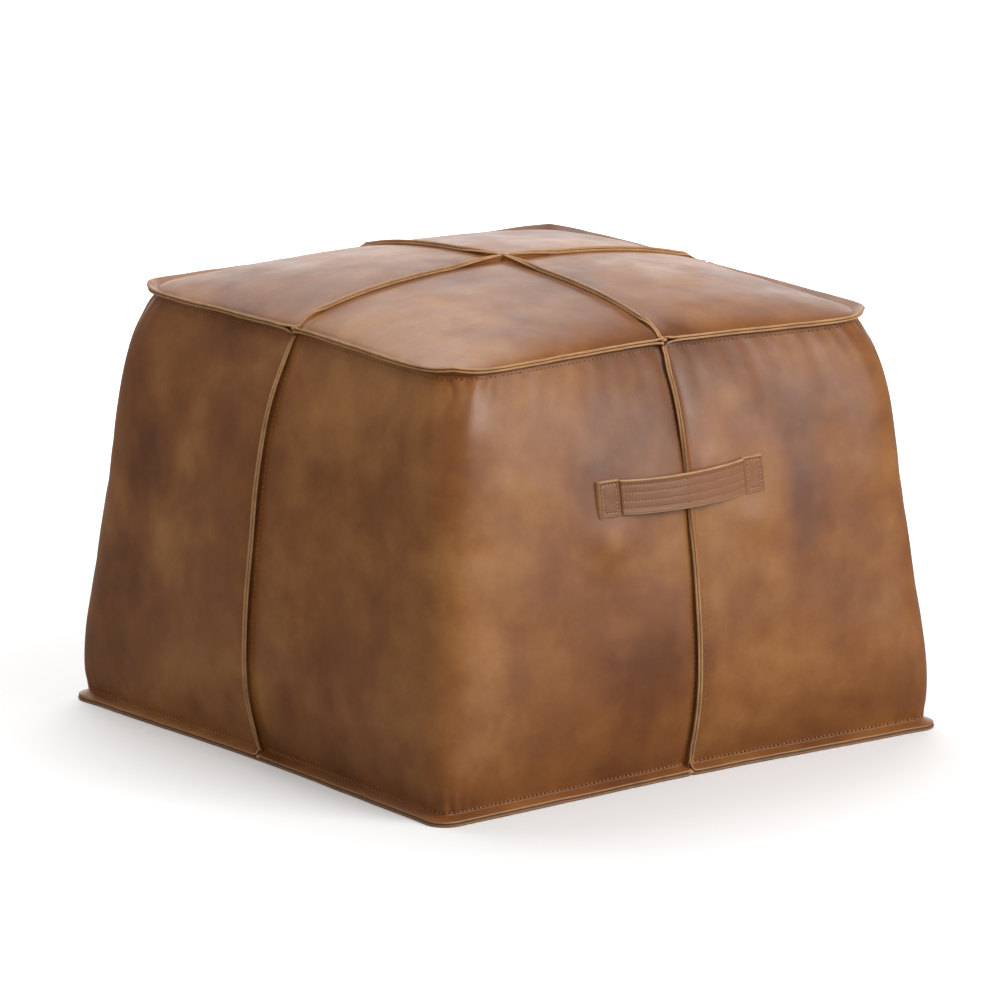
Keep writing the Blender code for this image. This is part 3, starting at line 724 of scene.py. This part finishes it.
class Shader:
    """A short way to write a material's nodes."""

    def __init__(self, name):
        self.material = bpy.data.materials.new(name)
        self.material.use_nodes = True
        self.tree = self.material.node_tree
        self.principled = self.tree.nodes["Principled BSDF"]
        self.position = self.add("ShaderNodeTexCoord").outputs["Object"]

    def add(self, kind, inputs=None, **settings):
        node = self.tree.nodes.new(kind)
        for key, value in settings.items():
            setattr(node, key, value)
        for key, value in (inputs or {}).items():
            self.put(node.inputs[key], value)
        return node

    def put(self, socket, value):
        if isinstance(value, bpy.types.NodeSocket):
            self.tree.links.new(value, socket)
        else:
            socket.default_value = value

    def set(self, **inputs):
        for key, value in inputs.items():
            self.put(self.principled.inputs[key.replace("_", " ")], value)

    def noise(self, size, detail=4.0, roughness=0.55, distortion=0.0):
        inputs = {"Vector": self.position, "Scale": 1 / size, "Detail": detail}
        inputs.update({"Roughness": roughness, "Distortion": distortion})
        return self.add("ShaderNodeTexNoise", inputs).outputs["Fac"]

    def cells(self, size, feature="F1"):
        inputs = {"Vector": self.position, "Scale": 1 / size}
        return self.add("ShaderNodeTexVoronoi", inputs, feature=feature).outputs["Distance"]

    def ramp(self, value, *stops):
        node = self.add("ShaderNodeValToRGB", {"Fac": value})
        elements = node.color_ramp.elements
        while len(elements) < len(stops):
            elements.new(0.5)
        for element, (place, colour) in zip(elements, stops):
            element.position = place
            element.color = (*colour, 1)
        return node.outputs["Color"]

    def span(self, value, low, high, out_low=0.0, out_high=1.0):
        inputs = {"Value": value, "From Min": low, "From Max": high, "To Min": out_low, "To Max": out_high}
        return self.add("ShaderNodeMapRange", inputs).outputs["Result"]

    def mix(self, factor, a, b):
        node = self.add("ShaderNodeMix", data_type="RGBA")
        for socket, value in ((node.inputs[0], factor), (node.inputs[6], a), (node.inputs[7], b)):
            if isinstance(value, tuple):
                value = (*value, 1)
            self.put(socket, value)
        return node.outputs[2]

    def math(self, operation, a, b):
        return self.add("ShaderNodeMath", {0: a, 1: b}, operation=operation).outputs[0]

    def paint(self, value, low, high, colour, darker, roughness):
        """A colour that is darker, by a factor, where the value is low."""
        dark = tuple(c * darker for c in colour)
        self.set(Base_Color=self.ramp(value, (low, dark), (high, colour)), Roughness=roughness)

    def bump(self, *layers):
        """Each layer is (height, strength, distance); later layers ride on earlier ones."""
        normal = None
        for height, strength, distance in layers:
            inputs = {"Height": height, "Strength": strength, "Distance": distance}
            if normal is not None:
                inputs["Normal"] = normal
            normal = self.add("ShaderNodeBump", inputs).outputs["Normal"]
        self.put(self.principled.inputs["Normal"], normal)


def leather(name, shades, roughness=0.42, patina=1.0, grain=1.0):
    """Waxed leather: broad cloudy patches, finer mottling, a few pale scuffs, pores and fine grain."""
    dark, middle, pale = shades
    s = Shader(name)
    clouds = s.noise(0.16, detail=3.0, roughness=0.5, distortion=0.6)
    blotches = s.noise(0.055, detail=5.0, roughness=0.6)
    tone = s.math("ADD", s.math("MULTIPLY", clouds, 0.62), s.math("MULTIPLY", blotches, 0.38))
    spread = 0.5 + 0.19 / patina, 0.5 - 0.19 / patina
    colour = s.ramp(tone, (spread[1], dark), (0.5, middle), (spread[0], pale))
    speckle = s.noise(0.004, detail=6.0, roughness=0.7)
    colour = s.mix(s.span(speckle, 0.3, 0.75, 0.0, 0.22), colour, dark)
    scuff_field = s.noise(0.09, detail=2.0)
    scuffs = s.span(s.noise(0.012, detail=8.0, roughness=0.75, distortion=1.5), 0.60, 0.72)
    scuffs = s.math("MULTIPLY", scuffs, s.span(scuff_field, 0.50, 0.66, 0.0, 0.35))
    colour = s.mix(scuffs, colour, tuple(min(c * 1.35, 1) for c in pale))
    s.set(Base_Color=colour)
    gloss = s.span(s.noise(0.04, detail=4.0), 0.3, 0.7, roughness - 0.06, roughness + 0.08)
    s.set(Roughness=s.math("ADD", gloss, s.math("MULTIPLY", scuffs, 0.25)))
    s.set(Specular_IOR_Level=0.45)
    creases = s.cells(0.0022, "DISTANCE_TO_EDGE")
    pores = s.noise(0.0009, detail=2.0)
    soft = s.noise(0.03, detail=3.0, roughness=0.5)
    s.bump(
        (soft, 0.25, 2.0 * MM),
        (s.span(creases, 0.0, 0.12), 0.10 * grain, 0.15 * MM),
        (pores, 0.10 * grain, 0.12 * MM),
    )
    return s.material


def cut_edge(name, colour):
    """The raw cut edge of leather: paler, matt and fibrous."""
    s = Shader(name)
    fibres = s.noise(0.0012, detail=5.0, roughness=0.7)
    patches = s.noise(0.02, detail=3.0)
    tone = s.math("ADD", s.math("MULTIPLY", fibres, 0.5), s.math("MULTIPLY", patches, 0.5))
    s.paint(tone, 0.36, 0.58, colour, 0.62, 0.75)
    s.bump((fibres, 0.4, 0.2 * MM))
    return s.material


def thread_finish(name, colour):
    s = Shader(name)
    twist = s.noise(0.0006, detail=2.0)
    s.paint(twist, 0.35, 0.65, colour, 0.7, 0.6)
    s.bump((twist, 0.3, 0.1 * MM))
    return s.material


# Painted shade: a near-black finish standing in for the shadow inside each needle hole.
def painted_hole_shade(name):
    s = Shader(name)
    s.paint(s.noise(0.002), 0.4, 0.6, (0.04, 0.016, 0.006), 0.5, 0.9)
    return s.material


WEAVE = 0.8 * MM


def woven(name, colour):
    """Plain weave: two sets of threads crossing."""
    s = Shader(name)
    scale = 2 * math.pi / WEAVE / 20
    bands = {"Vector": s.position, "Scale": scale}
    warp = s.add("ShaderNodeTexWave", bands, bands_direction="X").outputs["Fac"]
    weft = s.add("ShaderNodeTexWave", bands, bands_direction="Y").outputs["Fac"]
    weave = s.math("MULTIPLY", warp, weft)
    s.paint(weave, 0.0, 0.8, colour, 0.6, 0.9)
    s.bump((weave, 0.5, 0.15 * MM))
    return s.material


def fleecy(name, colour, size, strength):
    """Foam or fibre wadding."""
    s = Shader(name)
    pores = s.cells(size)
    tone = s.math("ADD", s.math("MULTIPLY", pores, 0.7), s.math("MULTIPLY", s.noise(0.03), 0.5))
    s.paint(tone, 0.1, 0.7, colour, 0.75, 1.0)
    s.bump((pores, strength, size))
    return s.material


def old_brass(name):
    s = Shader(name)
    tarnish = s.noise(0.004, detail=5.0, roughness=0.65)
    s.set(Base_Color=s.ramp(tarnish, (0.35, (0.10, 0.065, 0.03)), (0.6, (0.42, 0.30, 0.15))), Metallic=1.0)
    s.set(Roughness=s.span(tarnish, 0.3, 0.7, 0.55, 0.3))
    s.bump((s.noise(0.0008, detail=3.0), 0.15, 0.1 * MM))
    return s.material


COVER_SHADES = ((0.140, 0.043, 0.011), (0.252, 0.089, 0.021), (0.375, 0.162, 0.044))
cover = leather("cover_leather", COVER_SHADES, roughness=0.4, patina=1.18)
raw_edge = cut_edge("raw_edge", (0.52, 0.28, 0.125))
base_edge = cut_edge("base_edge", (0.40, 0.20, 0.085))
BASE_SHADES = ((0.10, 0.045, 0.022), (0.15, 0.07, 0.034), (0.20, 0.10, 0.05))
underside = leather("base_leather", BASE_SHADES, 0.6, 0.6)
STRAP_SHADES = ((0.16, 0.058, 0.020), (0.24, 0.092, 0.034), (0.31, 0.132, 0.054))
strap_leather = leather("handle_leather", STRAP_SHADES, 0.5, 0.8)
# Pale colour for the strap's edges: partly worn edge, partly painted highlight on its folded borders.
strap_edge_and_highlight = cut_edge("strap_edge_and_highlight", (0.60, 0.36, 0.18))
seam_thread = thread_finish("seam_thread", (0.42, 0.21, 0.10))
strap_thread = thread_finish("strap_thread", (0.72, 0.46, 0.26))
# Painted shade of the needle holes.
needle_hole_shade = painted_hole_shade("needle_hole_shade")


# --- the cover ---

QUARTERS = (("back_right", 0), ("back_left", 1), ("front_left", 2), ("front_right", 3))


def cover_skins():
    """The leather between the folds for every panel, in place."""
    side, top = side_skin(), top_skin()
    skins = {}
    for turn in range(4):
        skins["side", turn] = side @ spin(turn).T
        skins["top", turn] = top @ spin(turn).T
    return skins


def seam_stitches(side, top, turn):
    """Stitches along the folds of one side panel and one top panel."""
    rows = Stitches()
    normal = normals_of(side)
    for far in (False, True):
        points, facing = offset_path(side, normal, 1, far, SEAM_STITCH)
        rows.row(points[3:-3], facing[3:-3], thread=SEAM_THREAD)
    lip_rows = ((True, TOP_LIP_STITCH, THREAD), (False, BOTTOM_LIP_STITCH, BOTTOM_THREAD))
    for far, distance, thread in lip_rows:
        points, facing = offset_path(side, normal, 0, far, distance)
        rows.row(points[1:-1], facing[1:-1], thread=thread)
    normal = normals_of(top)
    for axis in (0, 1):
        points, facing = offset_path(top, normal, axis, False, SEAM_STITCH)
        rows.row(points[8:-3], facing[8:-3], thread=SEAM_THREAD)
    return rows


def build_cover(skins):
    relaxed = relaxed_skins(skins)
    finishes = (cover, raw_edge)
    for place, turn in QUARTERS:
        side = side_details(skins["side", turn], turn, relaxed["side", turn])
        top = top_details(skins["top", turn], turn, relaxed["top", turn])
        for kind, sheet in (("side", side_sheet(side, turn)), ("top", top_sheet(top, turn))):
            node = f"{kind}_panel_{place}"
            leather_piece(f"leather_{kind}_{place}", sheet, finishes, node)
        seam_stitches(side, top, turn).piece(f"stitching_{place}", (seam_thread, needle_hole_shade))


STUB_HALF_WIDTH = 5.5 * MM
STUB_HALF_HEIGHT = 2.2 * MM
STUB_BEYOND = 1.6 * MM  # further out than the lip, before it is rounded off


def seam_end(turn, height, tilt):
    """The end of an upright seam, caught between the two layers of a lip: a small stub of cut leather."""
    middle = section((height - SIDE_BOTTOM) / (SIDE_TOP - SIDE_BOTTOM))[1]
    points = []
    for out in (1 * MM, LIP + STUB_BEYOND):
        for across in (-STUB_HALF_WIDTH, STUB_HALF_WIDTH):
            for up in (-STUB_HALF_HEIGHT, STUB_HALF_HEIGHT):
                x = middle + out * math.cos(tilt) - up * math.sin(tilt)
                z = height + out * math.sin(tilt) + up * math.cos(tilt)
                points.append(spin(turn) @ [x, across, z])
    faces = [(0, 1, 3, 2), (4, 6, 7, 5), (0, 4, 5, 1), (2, 3, 7, 6), (0, 2, 6, 4), (1, 5, 7, 3)]
    return settled(np.array(points)), faces


def build_seam_ends():
    points, faces = [], []
    for turn in range(4):
        for height, tilt in ((SEAM_HEIGHT, TOP_TILT), ((BASE_FOLD + SIDE_BOTTOM) / 2, BOTTOM_TILT)):
            corners, sides = seam_end(turn, height, tilt)
            faces += [tuple(v + len(points) for v in side) for side in sides]
            points += list(corners)
    obj = mesh_piece("seam_ends", points, faces, (raw_edge,))
    subdivide = obj.modifiers.new("Soft", "SUBSURF")
    subdivide.levels = subdivide.render_levels = 2


build_cover(cover_skins())
build_seam_ends()


# --- the base and its zip ---

BASE_ROWS = 20
BASE_COLUMNS = 24
BASE_RIM = 16 * MM  # width over which the base rises from the floor to its seam
CHANNEL_DEPTH = 10 * MM
CHANNEL_HALF = 20 * MM
CHANNEL_SLOPE = 10 * MM
OPENING = 8 * MM
_, tape_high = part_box("zip_tape_right")
OPENING_END = tape_high.y
CHANNEL_END = OPENING_END + 12 * MM


def base_sheet(side):
    """Half of the underside, from the zip's opening out to the lip of the bottom seam."""
    corner, middle, radius = section(0.0)
    grid = []
    straight = corner - radius
    arc = straight + radius * np.sin(np.linspace(0, np.pi / 2, 8))
    beside_zip = np.linspace(0, CHANNEL_END, BASE_ROWS)
    beyond_zip = np.linspace(CHANNEL_END + 3 * MM, straight, 8)[:-1]
    half = np.concatenate([beside_zip, beyond_zip, arc])
    for y in np.concatenate([-half[:0:-1], half]):
        past = np.clip((abs(y) - straight) / radius, 0, 1)
        edge = face_depth(corner, middle, radius, y) - radius * (1 - np.sqrt(1 - past**2))
        inner = OPENING if abs(y) <= OPENING_END else GAP / 2
        channel = CHANNEL_HALF + CHANNEL_SLOPE
        x = np.concatenate([[inner, CHANNEL_HALF], np.linspace(channel, edge, BASE_COLUMNS)])
        pull_in = (corner - face_depth(corner, middle, radius, x)) * (abs(y) / corner) ** 8
        y_row = np.copysign(abs(y) - pull_in, y)
        from_rim = np.minimum(edge - x, corner - pull_in - abs(y_row))
        rim = BASE_FOLD * (1 - smooth(from_rim / BASE_RIM))
        raised = CHANNEL_DEPTH * (1 - smooth((x - CHANNEL_HALF) / CHANNEL_SLOPE))
        raised *= 1 - smooth((abs(y) - CHANNEL_END) / CHANNEL_SLOPE)
        grid.append(np.stack([x * side, y_row, np.maximum(rim, raised)], axis=-1))
    grid = np.array(grid)
    if side > 0:
        grid = grid[::-1]
    sheet = Sheet(grid)
    path = np.concatenate([sheet.index[0, :-1], sheet.index[:, -1], sheet.index[-1, -2::-1]])
    points = grid.reshape(-1, 3)[path]
    layers = [row[::-1] for row in lip_layers(points[::-1], *BOTTOM_LIPS, -0.5 * MM)]
    sheet.grow(path, layers)
    return sheet


def coil_rings(x, z, start, end):
    """One half of a nylon coil zip: a flattened spiral of thin wire."""
    pitch, wire, steps, sides = 1.5 * MM, 0.32 * MM, 8, 6
    rings = []
    for k in range(int((end - start) / pitch) * steps):
        angle = 2 * math.pi * k / steps
        radial = np.array([math.cos(angle), 0, math.sin(angle)])
        centre = np.array([x, start + pitch * k / steps, z]) + radial * [1.05 * MM, 0, 0.95 * MM]
        around = 2 * np.pi * np.arange(sides)[:, None] / sides
        rings.append(centre + wire * (np.cos(around) * radial + np.sin(around) * [0, 1, 0]))
    return rings


def build_base():
    for side, name in ((1, "right"), (-1, "left")):
        node = f"base_panel_{name}"
        finishes = (underside, base_edge)
        leather_piece(f"leather_base_{name}", base_sheet(side), finishes, node)
        node = f"zip_teeth_{name}"
        low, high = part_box(node)
        rings = coil_rings((low.x + high.x) / 2, (low.z + high.z) / 2, low.y, high.y)
        loft_piece(f"zip_coil_{name}", rings, nylon, (node,))


def dress_nodes(finish, *nodes):
    """Gives CAD nodes whose shape is right a finish with some detail."""
    for node in nodes:
        materials = frame["nodes"][node].data.materials
        materials.clear()
        materials.append(finish)


zip_weave = woven("zip_weave", (0.030, 0.020, 0.015))
nylon = thread_finish("nylon", (0.045, 0.028, 0.020))
brass = old_brass("old_brass")
dress_nodes(zip_weave, "zip_tape_left", "zip_tape_right")
dress_nodes(brass, "zip_stop_closed", "zip_stop_open", "zip_slider", "zip_pull_tab")
foam = fleecy("cut_foam", (0.80, 0.74, 0.52), 1.2 * MM, 0.5)
wadding = fleecy("fibre_wadding", (0.88, 0.88, 0.84), 5 * MM, 0.8)
dress_nodes(foam, "foam_slab_bottom", "foam_slab_middle", "foam_slab_top", "crown_foam")
dress_nodes(wadding, "wadding_sleeve", "top_wadding")
dress_nodes(woven("liner_cotton", (0.80, 0.77, 0.70)), "core_liner")
dress_nodes(strap_leather, "handle_backing_left", "handle_backing_right")
build_base()


# --- the handle ---

HANDLE_HEIGHT = (end_left_low.z + end_left_high.z) / 2 - 0.7 * MM
HANDLE_LEFT = end_left_low.x
STRAP_LEFT, STRAP_RIGHT = strap_low.x, strap_high.x
STRAP_MIDDLE = (STRAP_LEFT + STRAP_RIGHT) / 2
STRAP_WIDTH = 34 * MM
STRAP_ROWS = (-11 * MM, -4 * MM, 4 * MM, 11 * MM)
END_THICKNESS = 4 * MM
END_SUNK = 0.6 * MM  # how far a stitched-down end is pressed into the cover
HANDLE_BOW = 5.6 * MM
HANDLE_SAG = 3.5 * MM
STRAP_ROUND = 1.4 * MM  # radius of a strap's long edges
OUTER_POINTS = 52  # points across the outer side of a strap, the rounded edges included
PALE_EDGE_STEPS = 4  # of them, how many steps in from an edge the leather is painted pale, partly as edge wear and partly as painted highlight


def handle_tilt():
    """How far the front leans back at the handle."""
    axis = next(joint["axis"] for joint in frame["joints"] if joint["name"] == "handle_lift")
    return math.atan2(axis[2], -axis[1])


TILT = handle_tilt()


def on_front(x, up, out):
    """A point on the front, at x, up from the handle's middle line and out from the leather."""
    z = HANDLE_HEIGHT + up * math.cos(TILT)
    corner, middle, radius = section((z - SIDE_BOTTOM) / (SIDE_TOP - SIDE_BOTTOM))
    depth = face_depth(corner, middle, radius, x)
    return np.array([x, -depth - out * math.cos(TILT), z + out * math.sin(TILT)])


def rounded(distance, radius):
    """Height of a rounded edge at a distance in from it, from 0 to 1."""
    inside = min(distance / radius, 1)
    return math.sqrt(max(1 - (1 - inside) ** 2, 0))


def edge_steps(length, count, radius):
    """Positions along a length, with extra ones in its rounded ends."""
    end = [radius * share for share in (0, 0.08, 0.3, 0.65)]
    middle = np.linspace(radius, length - radius, count)
    return [*end, *middle, *[length - step for step in reversed(end)]]


def arch_at(x):
    """How far the free part of the strap stands away, from 0 at its ends to 1 in the middle."""
    share = np.clip((x - STRAP_LEFT) / (STRAP_RIGHT - STRAP_LEFT), 0, 1)
    return math.sin(math.pi * share) ** 0.7


def slab_rings(left, right, width, floor, thickness, relief, bow=0.0, sag=0.0, ends=0.8 * MM):
    """Closed cross-sections of a flat strip lying on the front. relief adds height to its outer side."""
    full_left, full_right = (STRAP_LEFT, STRAP_RIGHT) if bow else (left, right)
    rings = []
    for along in edge_steps(right - left, int((right - left) / (1.2 * MM)), ends):
        x = left + along
        arch = arch_at(x)
        end_height = rounded(min(x - full_left, full_right - x), ends)
        outer, inner = [], []
        for across in edge_steps(width, OUTER_POINTS - 8, STRAP_ROUND):
            up = across - width / 2
            height = thickness * end_height * rounded(min(across, width - across), STRAP_ROUND)
            height += relief(x, up) * end_height
            outer.append(on_front(x, up - sag * arch, floor + bow * arch + max(height, 0)))
        for up in np.linspace(width / 2, -width / 2, 8)[1:-1]:
            inner.append(on_front(x, up - sag * arch, floor + bow * arch))
        rings.append(outer + inner)
    return rings


def wear_and_highlight_edges(obj, rings, at_ends):
    """Paints the long edges of a strap's outer side pale, and its two ends where asked: partly edge wear,
    partly painted highlight.
    """
    obj.data.materials.append(strap_edge_and_highlight)
    for r in range(len(rings) - 1):
        from_end = min(r, len(rings) - 2 - r)
        for c in range(OUTER_POINTS - 1):
            from_edge = min(c, OUTER_POINTS - 2 - c)
            if from_edge < PALE_EDGE_STEPS or (at_ends and from_end < PALE_EDGE_STEPS):
                obj.data.polygons[1 + r * len(rings[0]) + c].material_index = 1


def strap_relief(x, up):
    """Turned edges a little proud of the middle, and a groove along every row of stitches."""
    edge = STRAP_WIDTH / 2 - abs(up)
    height = 0.55 * MM * near(edge - 2.0 * MM, 1.6 * MM)
    for row in STRAP_ROWS:
        height -= 0.25 * MM * near(up - row, 0.9 * MM)
    return height + 0.15 * MM * noise.noise(Vector((x, up, 0)) / (6 * MM))


def end_relief(left):
    def relief(x, up):
        """The turned border of a stitched-down end, with the line of stitches sunk inside it."""
        edge = min(STRAP_WIDTH / 2 + 1 * MM - abs(up), x - left, left + END_LENGTH - x)
        height = 0.7 * MM * near(edge - 1.8 * MM, 1.5 * MM) - 0.6 * MM * near(edge - 4.2 * MM, 1.0 * MM)
        return height + 0.3 * MM * noise.noise(Vector((x, up, 5 * MM)) / (7 * MM))

    return relief


END_LENGTH = end_left_high.x - end_left_low.x


def build_handle_end(side, left, node):
    width = STRAP_WIDTH + 2 * MM
    thickness = END_THICKNESS + END_SUNK
    rings = slab_rings(left, left + END_LENGTH, width, -END_SUNK, thickness, end_relief(left))
    leather_end = loft_piece(f"handle_end_{side}_leather", rings, strap_leather, (node,))
    wear_and_highlight_edges(leather_end, rings, at_ends=True)
    rows = Stitches()
    inset, out = 4.2 * MM, END_THICKNESS - 0.5 * MM
    low, high = inset - width / 2, width / 2 - inset
    first, last = left + inset, left + END_LENGTH - inset
    corners = [(first, low), (last, low), (last, high), (first, high)]
    facing = np.array([0, -math.cos(TILT), math.sin(TILT)])
    for start, end in zip(corners, corners[1:] + corners[:1]):
        steps = [lerp(np.array(start), np.array(end), s) for s in np.linspace(0, 1, 9)]
        path = np.array([on_front(x, up, out) for x, up in steps])
        rows.row(path, np.tile(facing, (len(path), 1)), 3.6 * MM, 2.7 * MM, 0.33 * MM)
    rows.piece(f"handle_end_{side}_stitching", (strap_thread, needle_hole_shade))


def bend_with_grip(obj):
    """Bakes the piece's placement into its mesh."""
    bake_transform(obj)


def build_strap_half(side, end):
    left, right = min(end, STRAP_MIDDLE), max(end, STRAP_MIDDLE)
    floor = END_THICKNESS + END_SUNK - LEATHER
    shape = {"bow": HANDLE_BOW, "sag": HANDLE_SAG}
    rings = slab_rings(left, right, STRAP_WIDTH, floor, LEATHER, strap_relief, **shape)
    strap = loft_piece(f"strap_{side}", rings, strap_leather, ("handle_strap",), None)
    wear_and_highlight_edges(strap, rings, at_ends=False)
    lining_floor = floor - 1.9 * MM
    width = STRAP_WIDTH - 3 * MM
    rings = slab_rings(left, right, width, lining_floor, 1.6 * MM, lambda x, up: 0.0, **shape)
    lining = loft_piece(f"strap_lining_{side}", rings, strap_leather, ("handle_lining",), None)
    rows = Stitches()
    for row in STRAP_ROWS:
        path = []
        for x in np.linspace(left, right, 40)[1:-1]:
            arch = arch_at(x)
            out = floor + LEATHER - 0.2 * MM + HANDLE_BOW * arch
            path.append(on_front(x, row - HANDLE_SAG * arch, out))
        facing = np.tile([0, -math.cos(TILT), math.sin(TILT)], (len(path), 1))
        rows.row(np.array(path), facing, 3.4 * MM, 2.6 * MM, 0.27 * MM)
    stitching = rows.piece(f"strap_stitching_{side}", (strap_thread, needle_hole_shade), None)
    for obj in (strap, lining, stitching):
        bend_with_grip(obj)


build_handle_end("left", HANDLE_LEFT, "handle_end_left")
build_handle_end("right", end_right_low.x, "handle_end_right")
build_strap_half("left", STRAP_LEFT)
build_strap_half("right", STRAP_RIGHT)


# --- floor, light and camera ---


def build_floor():
    bpy.ops.mesh.primitive_plane_add(size=40, location=(0, 0, -0.3 * MM))
    floor = bpy.context.object
    floor.name = "floor"
    s = Shader("floor")
    seen = s.add("ShaderNodeLightPath").outputs["Is Camera Ray"]
    colour = s.mix(seen, (0.30, 0.28, 0.26), (0.95, 0.95, 0.95))
    s.set(Base_Color=colour, Roughness=0.9, Specular_IOR_Level=0.1)
    distance = s.add("ShaderNodeVectorMath", {0: s.position}, operation="LENGTH").outputs["Value"]
    glow = s.math("MULTIPLY", seen, s.span(distance, 0.5, 2.5, 0.1, 0.7))
    s.set(Emission_Color=(1, 1, 1, 1), Emission_Strength=glow)
    floor.data.materials.append(s.material)


def area_light(name, place, target, size, power, reflected=True):
    data = bpy.data.lights.new(name, "AREA")
    data.shape = "RECTANGLE"
    data.size, data.size_y = size
    data.energy = power
    lamp = bpy.data.objects.new(name, data)
    lamp.location = place
    lamp.rotation_euler = (Vector(target) - Vector(place)).to_track_quat("-Z", "Y").to_euler()
    lamp.visible_glossy = reflected
    bpy.context.scene.collection.objects.link(lamp)


SKY_LIGHT = 0.3


def build_lights():
    world = bpy.data.worlds.new("studio")
    world.use_nodes = True
    background = world.node_tree.nodes["Background"]
    seen = world.node_tree.nodes.new("ShaderNodeLightPath").outputs["Is Camera Ray"]
    strength = world.node_tree.nodes.new("ShaderNodeMapRange")
    strength.inputs["To Min"].default_value = SKY_LIGHT
    world.node_tree.links.new(seen, strength.inputs["Value"])
    world.node_tree.links.new(strength.outputs["Result"], background.inputs["Strength"])
    background.inputs["Color"].default_value = (1, 1, 1, 1)
    bpy.context.scene.world = world
    middle = (0, 0, 0.25)
    area_light("key", (0.9, -3.2, 2.0), middle, (2.2, 1.6), 95)
    area_light("fill", (-3.4, -0.6, 1.6), middle, (2.4, 2.0), 28, reflected=False)
    area_light("sheen", (2.5, -3.3, 0.75), middle, (1.2, 0.8), 25)
    area_light("backdrop", (2.6, 3.4, 1.3), middle, (4.5, 2.2), 54)
    area_light("overhead", (0.3, 1.6, 3.0), middle, (3.2, 2.2), 70)


VIEW_AZIMUTH = math.radians(-37.32)
VIEW_ELEVATION = math.radians(13.44)
VIEW_DISTANCE = 7.85
TARGET_SHARE = 0.4514  # height of the point looked at, as a share of the pouf's
LENS = 288  # in mm, on a sensor of SENSOR mm
SENSOR = 36
VIEW_SHIFT = (-0.0032, 0.0067)


def build_camera():
    level = Vector((math.sin(VIEW_AZIMUTH), -math.cos(VIEW_AZIMUTH), 0))
    back = level * math.cos(VIEW_ELEVATION) + Vector((0, 0, math.sin(VIEW_ELEVATION)))
    target = Vector((0, 0, cad_high.z * TARGET_SHARE))
    data = bpy.data.cameras.new("camera")
    data.lens = LENS
    data.sensor_width = SENSOR
    data.shift_x, data.shift_y = VIEW_SHIFT
    camera = bpy.data.objects.new("camera", data)
    camera.location = target + back * VIEW_DISTANCE
    camera.rotation_euler = back.to_track_quat("Z", "Y").to_euler()
    bpy.context.scene.collection.objects.link(camera)
    bpy.context.scene.camera = camera


build_floor()
build_lights()
build_camera()
bpy.context.scene.view_settings.view_transform = "Standard"
